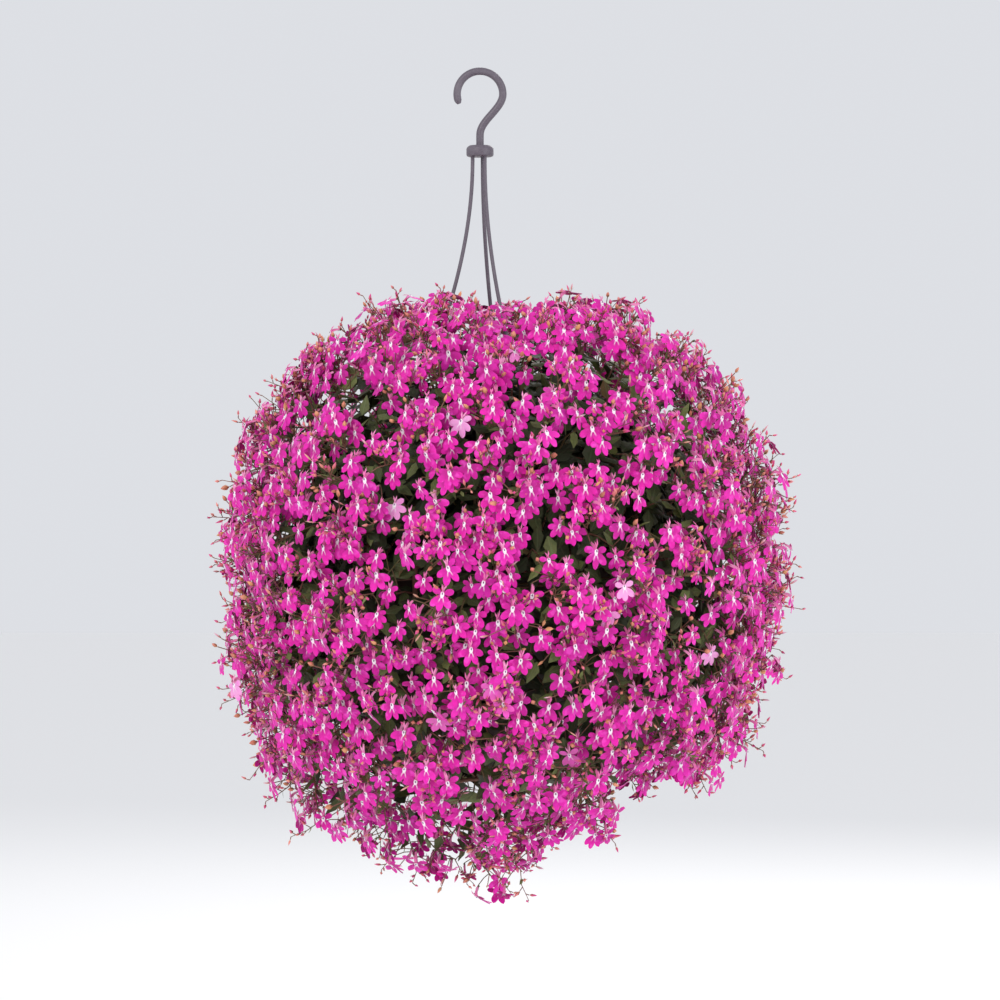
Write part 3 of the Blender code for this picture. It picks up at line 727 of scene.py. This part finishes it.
def compost_material():
    """Dark crumbs with a few pale specks."""
    made, tree, shader = material("compost", 0.95)
    crumb = noise(tree, 160.0, 6.0, 0.75)
    speck = noise(tree, 420.0, 2.0)
    body = layered(
        tree,
        mixed(tree, span(tree, crumb, 0.35, 0.65), (0.012, 0.008, 0.005), (0.060, 0.036, 0.022)),
        (span(tree, speck, 0.68, 0.74), (0.22, 0.16, 0.11)),
    )
    linked(tree, body, shader, "Base Color")
    bumped(tree, shader, crumb, 1.0, 0.003)
    return made


class Spray:
    """One stem from the compost with all that it bears, gathered into four meshes."""

    def __init__(self, number, row, azimuth, rim_azimuth):
        polar, _, _, _, core_radius, root_radius = ROWS[row]
        self.number = number
        self.row = row
        self.way = direction(polar, azimuth)
        self.heart = BALL_CENTRE + self.way * (core_radius - HEART_INSET)
        self.rim_azimuth = rim_azimuth
        self.root = around(root_radius, rim_azimuth, RIM_TOP - 0.018)
        self.flowers = Growth()
        self.leaves = Growth()
        self.twigs = Growth()
        self.buds = Growth()

    def stem_path(self):
        """From the heart of the spray, over or round the rim where it lies low, to its hole."""
        turn = self.rim_azimuth
        path = []
        if self.row >= 2:
            path.append(around(0.124, turn, RIM_TOP + 0.014))
        if self.row >= 3:
            path.insert(0, around(0.131, turn, RIM_TOP - 0.006))
            path.insert(0, around(0.126, turn, RIM_TOP - 0.050))
        if self.row >= 4:
            path.insert(0, around(0.105, turn, RIM_TOP - 0.112))
            path.insert(0, around(0.088, turn, RIM_TOP - 0.150))
        if self.row >= 2:
            path.append(around(0.100, turn, RIM_TOP + 0.014))
        path.append(self.root + UP * 0.014)
        path.append(self.root - UP * 0.015)
        return [self.heart] + path


def smooth_path(points, steps):
    """A rounded path through points, by a Catmull-Rom curve."""
    points = np.asarray(points, float)
    ends = np.concatenate((points[:1] * 2 - points[1:2], points, points[-1:] * 2 - points[-2:-1]))
    path = []
    for i in range(len(points) - 1):
        a, b, c, d = ends[i : i + 4]
        for step in range(steps):
            t = step / steps
            square, cube = 2 * a - 5 * b + 4 * c - d, 3 * b - a - 3 * c + d
            path.append(0.5 * (2 * b + (c - a) * t + square * t * t + cube * t**3))
    path.append(points[-1])
    return np.array(path)


def along_path(path, share):
    """Place and way at a share of a path."""
    at = share * (len(path) - 1)
    low = min(int(at), len(path) - 2)
    part = at - low
    return path[low] * (1 - part) + path[low + 1] * part, unit(path[low + 1] - path[low])


def add_pipe(growth, path, radii, sides, tone):
    """Adds a tube to a mesh under growth."""
    points, faces = pipe(path, radii, sides)
    marks = np.tile((0.0, 0.5, tone), (len(points), 1))
    growth.put((points, faces, marks, np.zeros(len(faces), int)), np.eye(3), np.zeros(3), tone)


def spoke_round(along, angle):
    """A direction square to a stem, at an angle round it."""
    ring = basis(along, UP if abs(along[2]) < 0.9 else np.array((1.0, 0.0, 0.0)))
    return ring[:, 0] * math.cos(angle) + ring[:, 1] * math.sin(angle)


def shaken(draw, amount):
    """A small vector in a random direction."""
    return np.array([draw.uniform(-amount, amount) for _ in range(3)])


def shoot_path(way, draw, wild):
    """A shoot leaves the plant's heart, pushes out to the surface and ends turned down along it, or any way
    near the top."""
    radius = surface_radius(way)
    start = BALL_CENTRE + way * SHOOT_START
    down = unit(-UP + way * way[2])
    sideways = unit(np.cross(way, UP) + 1e-6)
    sway = draw.uniform(-1, 1)
    fall = (1 - max(0.0, way[2])) * 0.55
    drift = down * fall + sideways * sway * 0.45
    if way[2] > 0.45:
        drift = sideways * sway * 0.7 + down * draw.uniform(-0.2, 0.6)
    outer = radius - 0.017 + wild
    mid = BALL_CENTRE + way * (radius - 0.050) - drift * 0.012
    late = BALL_CENTRE + way * (radius - 0.027) + drift * 0.020
    droop = max(0.0, -way[2] - 0.3) * draw.uniform(0, 0.016)
    tip = BALL_CENTRE + unit(way + drift * 0.26) * outer - UP * droop
    return smooth_path((start, mid, late, tip), 3)


class Crowd:
    """The flowers' places so far, so that each new one can look for room."""

    def __init__(self, most):
        self.places = np.full((most, 3), 9.0)
        self.count = 1

    def room(self, place):
        return float(((self.places[: self.count] - place) ** 2).sum(axis=1).min())

    def add(self, place):
        self.places[self.count] = place
        self.count += 1


def grow_flower(spray, path, share, turn, draw, shapes, crowd):
    """Hangs a flower from a shoot, in the roomiest of several places."""
    best = None
    for _ in range(FLOWER_TRIES):
        place, along = along_path(path, min(0.99, share + draw.uniform(-0.10, 0.08)))
        outward = unit(place - BALL_CENTRE)
        spoke = spoke_round(along, turn + draw.uniform(-1.6, 1.6))
        at = place + unit(spoke * 0.8 + outward * 0.7 + UP * 0.2) * draw.uniform(*FLOWER_STALK)
        room = crowd.room(at)
        if best is None or room > best[0]:
            best = (room, place, outward, spoke, at)
    _, place, outward, spoke, at = best
    crowd.add(at)
    level = outward * (1.0, 1.0, 0.38)
    facing = unit(level + spoke * (0.42, 0.42, 0.25) + shaken(draw, 0.30))
    axes = basis(facing, UP + np.cross(UP, facing) * draw.uniform(-0.32, 0.32))
    shape, foot = shapes[draw.randrange(len(shapes))]
    scale = FLOWER_SCALE * draw.uniform(0.80, 1.08)
    tone = draw.uniform(0, 1)
    if draw.random() < FADED_SHARE:
        tone = draw.uniform(1.1, 1.35)
    spray.flowers.put(shape, axes, at, tone, scale)
    end = at + axes @ (foot * scale)
    stalk = (place, (place + end) / 2 + UP * 0.001, end)
    add_pipe(spray.twigs, stalk, PEDICEL_WIDTH / 2, 3, draw.uniform(0.3, 1))


def grow_bud(spray, place, out, reach, draw, shapes, size):
    """A bud, pod or spent flower on its own stalk."""
    end = place + out * reach
    add_pipe(spray.twigs, (place, end), PEDICEL_WIDTH / 2, 3, 0.8)
    shape = shapes[draw.randrange(len(shapes))]
    axes = basis(unit(out + UP * 0.25), spoke_round(out, draw.uniform(0, TURN)))
    spray.buds.put(shape, axes, end, draw.uniform(0, 1), MM * size)


def grow_leaf(spray, place, lie, face, draw, shapes, tone, size=1.0):
    """A leaf that points along lie, with its upper side towards face."""
    face = unit(face - lie * face.dot(lie))
    axes = np.stack((np.cross(lie, face), lie, face), axis=1)
    shape = shapes[draw.randrange(len(shapes))]
    spray.leaves.put(shape, axes, place, tone, MM * size * draw.uniform(0.8, 1.15))


def grow_sprig(spray, place, along, draw, shapes):
    """A thin tip that rises out of the flowers with a leaf, and buds by turns, smaller towards its end."""
    outward = unit(place - BALL_CENTRE)
    way = unit(outward * 0.9 + along * 0.35 + UP * 0.45 + shaken(draw, 0.45))
    length = draw.uniform(*SPRIG_LENGTH)
    bend = spoke_round(way, draw.uniform(0, TURN)) * 0.0025
    path = np.array((place, place + way * length * 0.5 + bend, place + way * length))
    add_pipe(spray.twigs, path, SPRIG_RADII, 3, draw.uniform(0.2, 0.9))
    turn = draw.uniform(0, TURN)
    count = draw.randint(*BUDS_A_SPRIG)
    for i in range(count):
        share = 0.35 + 0.65 * i / (count - 1)
        spot, _ = along_path(path, share)
        turn += GOLDEN_TURN
        out = unit(way * 0.8 + spoke_round(way, turn) + UP * 0.2)
        grow_bud(spray, spot, out, 0.0055 - 0.0035 * share, draw, shapes["bud"], 1.25 - 0.50 * share)
    spot = place + way * length * 0.3
    lie = unit(way + spoke_round(way, turn))
    grow_leaf(spray, spot, lie, outward + UP, draw, shapes["small leaf"], 0.9, 0.7)


def grow_shoot(spray, way, draw, shapes, wild, crowd):
    """A shoot with flowers, sprigs of buds, pods and leaves along it."""
    path = shoot_path(way, draw, wild)
    widths = np.linspace(1.0, 0.55, len(path)) * SHOOT_WIDTH / 2
    add_pipe(spray.twigs, path, widths, 4, draw.uniform(0, 1))
    count = draw.randint(*FLOWERS_A_SHOOT)
    turn = draw.uniform(0, TURN)
    for i in range(count):
        share = 0.60 + 0.37 * (i + draw.uniform(-0.3, 0.3)) / (count - 1)
        turn += GOLDEN_TURN + draw.uniform(-0.3, 0.3)
        grow_flower(spray, path, share, turn, draw, shapes["flower"], crowd)
    for share in (draw.uniform(0.66, 0.86), 0.98):
        place, along = along_path(path, share)
        grow_sprig(spray, place, along, draw, shapes)
    for _ in range(draw.randint(*PODS_A_SHOOT)):
        place, along = along_path(path, draw.uniform(0.60, 0.96))
        out = unit(spoke_round(along, draw.uniform(0, TURN)) + unit(place - BALL_CENTRE) * 0.9 + UP * 0.3)
        group = shapes["pod" if draw.random() < 0.7 else "spent"]
        grow_bud(spray, place, out, draw.uniform(*POD_STALK), draw, group, draw.uniform(0.9, 1.25))
    for i in range(LEAVES_A_SHOOT):
        share = 0.10 + 0.82 * i / LEAVES_A_SHOOT
        place, along = along_path(path, share)
        outward = unit(place - BALL_CENTRE)
        spoke = spoke_round(along, GOLDEN_TURN * i + turn)
        lie = unit(spoke + along * draw.uniform(0.2, 0.8) + outward * 0.25 - UP * 0.15)
        group = shapes["leaf" if share < 0.66 else "small leaf"]
        depth = np.linalg.norm(place - BALL_CENTRE) / surface_radius(way)
        # Painted shade: leaves deeper inside the ball get darker tones
        tone = draw.uniform(0.2, 1.0) * min(1.0, max(0.12, (depth - 0.6) * 4.5))
        if draw.random() < 0.05:
            tone = 1.3
        grow_leaf(spray, place, lie, outward * 0.7 + UP * 0.6 + shaken(draw, 0.35), draw, group, tone)


def evenly(count, draw, shake):
    """Directions spread evenly over the ball, each shaken a little."""
    golden = math.pi * (3 - math.sqrt(5))
    for i in range(count):
        height = 1 - 2 * (i + 0.5) / count
        level = math.sqrt(1 - height**2)
        way = np.array((level * math.cos(golden * i), level * math.sin(golden * i), height))
        yield unit(way + shaken(draw, shake))


def lowness(way, start):
    """0 down to a height in the ball's lower half, and 1 at its lowest point."""
    return max(0.0, -way[2] - start) / (1 - start)


def grow_plant():
    """All the sprays, with their shoots and inner leaves in the spray that each lies nearest to."""
    draw = random.Random(SEED)
    sprays = []
    for row, (_, count, first, first_rim, _, _) in enumerate(ROWS):
        for i in range(count):
            turn = 360 * i / count
            sprays.append(Spray(len(sprays) + 1, row, first + turn, first_rim + turn))
    shapes = {
        "flower": [flower_shape(draw) for _ in range(12)],
        "leaf": [leaf_shape(draw, draw.uniform(12, 18), draw.uniform(6.0, 9.0)) for _ in range(8)],
        "small leaf": [leaf_shape(draw, draw.uniform(7, 12), draw.uniform(3.4, 5.6), 4) for _ in range(6)],
        "inner leaf": [leaf_shape(draw, draw.uniform(16, 22), draw.uniform(8.5, 11), 4) for _ in range(6)],
        "bud": [bud_shape(draw, BUD) for _ in range(6)],
        "pod": [bud_shape(draw, POD) for _ in range(5)],
        "spent": [bud_shape(draw, SPENT) for _ in range(3)],
    }
    for spray in sprays:
        stem = smooth_path(spray.stem_path(), 5)
        add_pipe(spray.twigs, stem, np.linspace(1.5, 2.3, len(stem)) * MM, 8, 0.7)

    def nearest(way):
        return max(sprays, key=lambda spray: float(spray.way @ way))

    crowd = Crowd(SHOOTS * FLOWERS_A_SHOOT[1] + 1)
    for way in evenly(SHOOTS, draw, 0.035):
        if way[2] > BARE_TOP or draw.random() < THIN_MOST * lowness(way, THIN_FROM):
            continue
        spray = nearest(way)
        wild = draw.uniform(-0.006, 0.008)
        if draw.random() < WILD_SHARE:
            wild += WILD_REACH
        start = BALL_CENTRE + way * SHOOT_START
        branch = smooth_path((spray.heart, (spray.heart + start) / 2 + spray.way * 0.004, start), 2)
        add_pipe(spray.twigs, branch, BRANCH_RADIUS, 4, draw.uniform(0.3, 1))
        grow_shoot(spray, way, draw, shapes, wild, crowd)
    group = shapes["inner leaf"]
    for way in evenly(HEART_LEAVES, draw, 0.05):
        if way[2] < HEART_LOWEST:
            continue
        lie = unit(np.cross(way, shaken(draw, 1.0)) - UP * 0.2)
        place = BALL_CENTRE + way * surface_radius(way) * draw.uniform(*HEART_DEPTH)
        face = way + shaken(draw, 0.4)
        # Painted shade: the heart's leaves are almost black
        tone = draw.uniform(0.0, 0.1)
        grow_leaf(nearest(way), place, lie, face, draw, group, tone, HEART_LEAF_SIZE)
    deep, shallow = INNER_DEPTH
    for way in evenly(INNER_LEAVES, draw, 0.05):
        if draw.random() < INNER_THIN_MOST * lowness(way, INNER_THIN_FROM):
            continue
        depth = draw.uniform(deep, shallow)
        lie = unit(np.cross(way, shaken(draw, 1.0)) + way * draw.uniform(-0.1, 0.5) - UP * 0.3)
        face = way + UP * 0.5 + shaken(draw, 0.3)
        place = BALL_CENTRE + way * surface_radius(way) * depth
        share = (depth - deep) / (shallow - deep)
        # Painted shade: the deeper an inner leaf lies, the darker its tone
        tone = draw.uniform(0.0, 0.08 + 0.7 * share)
        grow_leaf(nearest(way), place, lie, face, draw, group, tone, 1.45 - 0.75 * share)
    return sprays


def add_turned(growth, profile, sides):
    """A closed turned form from a profile of (radius, height) pairs that starts and ends on the axis, taken
    anticlockwise about the section."""
    points, rings = [], []
    for radius, height in profile:
        count = 1 if radius == 0 else sides
        rings.append(list(range(len(points), len(points) + count)))
        points += [around(radius, 360 * i / sides, height) for i in range(count)]
    faces = []
    for upper, lower in zip(rings, rings[1:]):
        for i in range(sides):
            a, b = upper[i % len(upper)], upper[(i + 1) % len(upper)]
            c, d = lower[(i + 1) % len(lower)], lower[i % len(lower)]
            if len(upper) > 1:
                faces.append((a, c, b))
            if len(lower) > 1:
                faces.append((a, d, c))
    shape = Shape()
    shape.add(points, faces, 0)
    growth.put(shape.joined(), np.eye(3), np.zeros(3), 0.5)


def wall_radius(height):
    """Outer radius of the pot's tapered wall."""
    return SHOULDER_RADIUS + (BASE_RADIUS - SHOULDER_RADIUS) * (RIM_TOP - height) / POT_HEIGHT


def lug_place(azimuth):
    return around(SHOULDER_RADIUS - LUG_RADIUS / 2, azimuth, RIM_TOP + 0.001)


def make_pot(finish):
    """A tapered pot with a rolled rim band, lugs for the strands and drain holes through its floor."""
    floor, band = RIM_TOP - POT_HEIGHT, RIM_TOP - RIM_BAND
    lip = WALL / 2
    rim = [
        (RIM_RADIUS - lip + lip * math.cos(a), RIM_TOP - lip + lip * math.sin(a))
        for a in (math.pi * (1 - i / RIM_STEPS) for i in range(RIM_STEPS + 1))
    ]
    profile = [(0, floor + WALL), (wall_radius(floor) - WALL - 0.002, floor + WALL)]
    profile += [(wall_radius(floor) - WALL, floor + WALL + 0.002), (wall_radius(band) - WALL, band)]
    profile += [(RIM_RADIUS - WALL, band + 0.004)] + rim
    profile += [(RIM_RADIUS, band), (RIM_RADIUS - 0.0006, band - 0.0008), (wall_radius(band), band - 0.001)]
    profile += [(wall_radius(floor) + 0.0004, floor + 0.002), (wall_radius(floor) - 0.0015, floor)]
    profile.append((0, floor))
    body = Growth()
    add_turned(body, profile, POT_SIDES)
    pot = body.made("pot_moulded", [finish])
    drill = Growth()
    for i in range(DRAIN_HOLES):
        place = around(DRAIN_RING, DRAIN_FIRST + 360 * i / DRAIN_HOLES, floor)
        add_pipe(drill, (place - UP * 0.003, place + UP * 0.006), DRAIN_RADIUS, 24, 0.5)
    cutter = drill.made("drain_cutter", [finish])
    cut = pot.modifiers.new("drains", "BOOLEAN")
    cut.operation = "DIFFERENCE"
    cut.object = cutter
    drilled = bpy.data.meshes.new_from_object(pot.evaluated_get(bpy.context.evaluated_depsgraph_get()))
    pot.modifiers.clear()
    pot.data = drilled
    drilled.shade_smooth()
    drilled.set_sharp_from_angle(angle=math.radians(35))
    bpy.data.objects.remove(cutter)
    lugs = Growth()
    for azimuth in STRAND_AZIMUTHS:
        place = lug_place(azimuth)
        path = (place, place - UP * 0.002, place - UP * LUG_DEPTH)
        add_pipe(lugs, path, (LUG_RADIUS - 0.0004, LUG_RADIUS, LUG_RADIUS), 20, 0.5)
        web = around(RIM_RADIUS - WALL, azimuth, place[2] - 0.003)
        add_pipe(lugs, (web, web - UP * (LUG_DEPTH - 0.004)), LUG_RADIUS * 0.7, 12, 0.5)
    return pot, lugs.made("lugs", [finish])


def make_hook(finish):
    """A bent rod with rounded ends over a turned collar."""
    centre_radius = HOOK_INNER_RADIUS + HOOK_ROD / 2
    path = []
    for i in range(ARC_POINTS + 1):
        angle = math.radians(HOOK_OPEN_ANGLE) * (1 - i / ARC_POINTS)
        height = centre_radius * math.sin(angle) - HOOK_INNER_RADIUS
        path.append((centre_radius * math.cos(angle), 0, height))
    low = COLLAR_TOP + 0.008
    for i in range(1, SHANK_POINTS + 1):
        share = i / SHANK_POINTS
        side = centre_radius * (1 + math.cos(math.pi * share)) / 2
        path.append((side, 0, -HOOK_INNER_RADIUS + (low + HOOK_INNER_RADIUS) * share))
    path.append((0, 0, COLLAR_TOP - 0.0015))
    radii = [HOOK_ROD / 2 * min(1.0, math.sqrt(0.25 + i / 3)) for i in range(len(path))]
    hook = Growth()
    add_pipe(hook, path, radii, 20, 0.5)
    foot = COLLAR_TOP - COLLAR_HEIGHT
    profile = [(0, foot), (COLLAR_RADIUS - 0.0012, foot), (COLLAR_RADIUS - 0.0003, foot + 0.0004)]
    profile += [(COLLAR_RADIUS, foot + 0.0014), (COLLAR_RADIUS, COLLAR_TOP - 0.0024)]
    profile += [(COLLAR_RADIUS - 0.0004, COLLAR_TOP - 0.0014), (COLLAR_RADIUS * 0.8, COLLAR_TOP)]
    profile.append((0, COLLAR_TOP))
    add_turned(hook, profile, 48)
    made = hook.made("hook_moulded", [finish])
    made.data.set_sharp_from_angle(angle=math.radians(40))
    return made


def make_strand(number, azimuth, finish):
    """From the collar a strand bows out like a sprung rod, and stands upright in its lug."""
    top = around(STRAND_TOP_RADIUS, azimuth, COLLAR_TOP - COLLAR_HEIGHT)
    foot = lug_place(azimuth)
    bow_top, bow_foot = top - UP * 0.003, foot + UP * 0.002
    path = [top + UP * 0.001, bow_top]
    for i in range(1, STRAND_POINTS):
        share = i / STRAND_POINTS
        place = bow_top + (bow_foot - bow_top) * (3 * share**2 - share**3) / 2
        place[2] = bow_top[2] + (bow_foot[2] - bow_top[2]) * share
        path.append(place)
    path += [bow_foot, foot - UP * STRAND_SOCKET_DEPTH]
    strand = Growth()
    add_pipe(strand, path, STRAND_DIAMETER / 2, 12, 0.5)
    return strand.made(f"cord_{number}", [finish])


def add_camera():
    """A camera level with the frame's middle that looks along +Y, as the photograph was taken."""
    middle = IMAGE / 2
    aim_x = (middle - HOOK_PIXEL[0]) * PIXEL
    aim_z = -(middle - HOOK_PIXEL[1]) * PIXEL
    data = bpy.data.cameras.new("camera")
    data.sensor_width = SENSOR
    data.lens = SENSOR * CAMERA_DISTANCE / (IMAGE * PIXEL)
    camera = bpy.data.objects.new("camera", data)
    camera.location = (aim_x, -CAMERA_DISTANCE, aim_z)
    camera.rotation_euler = (math.radians(90), 0, 0)
    bpy.context.collection.objects.link(camera)
    bpy.context.scene.camera = camera


def add_light(name, place, size, power, colour):
    """A soft square lamp that faces the ball."""
    data = bpy.data.lights.new(name, "AREA")
    data.size = size
    data.energy = power
    data.color = colour
    lamp = bpy.data.objects.new(name, data)
    lamp.location = place
    aim = unit(BALL_CENTRE - np.array(place))
    lamp.rotation_euler = (math.acos(-aim[2]), 0, math.atan2(aim[1], aim[0]) - math.pi / 2)
    bpy.context.collection.objects.link(lamp)


def add_studio():
    """A pale even background, three lamps and a plain floor below the plant."""
    world = bpy.data.worlds.new("studio")
    world.use_nodes = True
    background = world.node_tree.nodes["Background"]
    background.inputs["Color"].default_value = (0.93, 0.95, 1.0, 1)
    background.inputs["Strength"].default_value = 0.78
    bpy.context.scene.world = world
    bpy.context.scene.view_settings.view_transform = "Standard"
    add_light("key", (-1.4, -2.2, 1.3), 1.6, 34, (1.0, 0.97, 0.94))
    add_light("fill", (1.9, -1.5, 0.3), 1.8, 20, (0.97, 0.98, 1.0))
    add_light("back", (0.6, 2.2, 1.1), 1.6, 24, (1.0, 0.98, 0.96))
    mesh = bpy.data.meshes.new("floor")
    signs = ((-1, -1), (1, -1), (1, 1), (-1, 1))
    corners = [(FLOOR_REACH * x, FLOOR_REACH * y, FLOOR_HEIGHT) for x, y in signs]
    mesh.from_pydata(corners, [], [(0, 1, 2, 3)])
    pale, _, shader = material("pale_floor", 0.9)
    shader.inputs["Base Color"].default_value = (0.76, 0.755, 0.75, 1)
    shader.inputs["Emission Color"].default_value = (0.95, 0.97, 1.0, 1)
    shader.inputs["Emission Strength"].default_value = 0.17
    mesh.materials.append(pale)
    floor = bpy.data.objects.new("floor", mesh)
    bpy.context.collection.objects.link(floor)


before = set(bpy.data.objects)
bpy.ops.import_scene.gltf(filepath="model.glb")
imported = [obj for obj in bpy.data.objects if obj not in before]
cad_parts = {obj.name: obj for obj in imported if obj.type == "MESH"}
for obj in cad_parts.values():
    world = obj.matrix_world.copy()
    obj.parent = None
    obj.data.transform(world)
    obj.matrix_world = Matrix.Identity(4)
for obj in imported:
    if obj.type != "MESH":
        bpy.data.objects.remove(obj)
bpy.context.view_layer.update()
add_camera()
add_studio()
petal = petal_material()
organs = {name: plain_organ(name, *looks) for name, looks in ORGANS.items()}
flower_finishes = [petal] + [organs[name] for name in ("eye", "throat", "tube", "calyx")]
bud_finishes = [organs[name] for name in ("calyx", "bud", "pod", "spent")]
leaf = leaf_material()
stem = stem_material()
hanger = plastic("hanger_plastic", (0.105, 0.085, 0.110), (0.22, 0.20, 0.23), 0.45, 900.0)
pot_plastic = plastic("pot_plastic", (0.040, 0.021, 0.016), (0.095, 0.062, 0.045), 0.45, 700.0)

for spray in grow_plant():
    number = f"{spray.number:02d}"
    flowers = spray.flowers.made(f"flowers_{number}", flower_finishes)
    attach(flowers, "root")
    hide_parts(f"blooms_{number}")
    buds = spray.buds.made(f"buds_{number}", bud_finishes)
    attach(buds, "root")
    leaves = spray.leaves.made(f"leaves_{number}", [leaf])
    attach(leaves, "root")
    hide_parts(f"foliage_{number}")
    twigs = spray.twigs.made(f"twigs_{number}", [stem])
    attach(twigs, "root")

pot, lugs = make_pot(pot_plastic)
for piece in (pot, lugs):
    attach(piece, "root")
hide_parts("pot")
hook = make_hook(hanger)
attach(hook, "root")
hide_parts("hook")
for number, azimuth in enumerate(STRAND_AZIMUTHS, 1):
    strand = make_strand(number, azimuth, hanger)
    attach(strand, "root")
    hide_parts(f"strand_{number}")
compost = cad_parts["compost"]
compost.data.materials.clear()
compost.data.materials.append(compost_material())
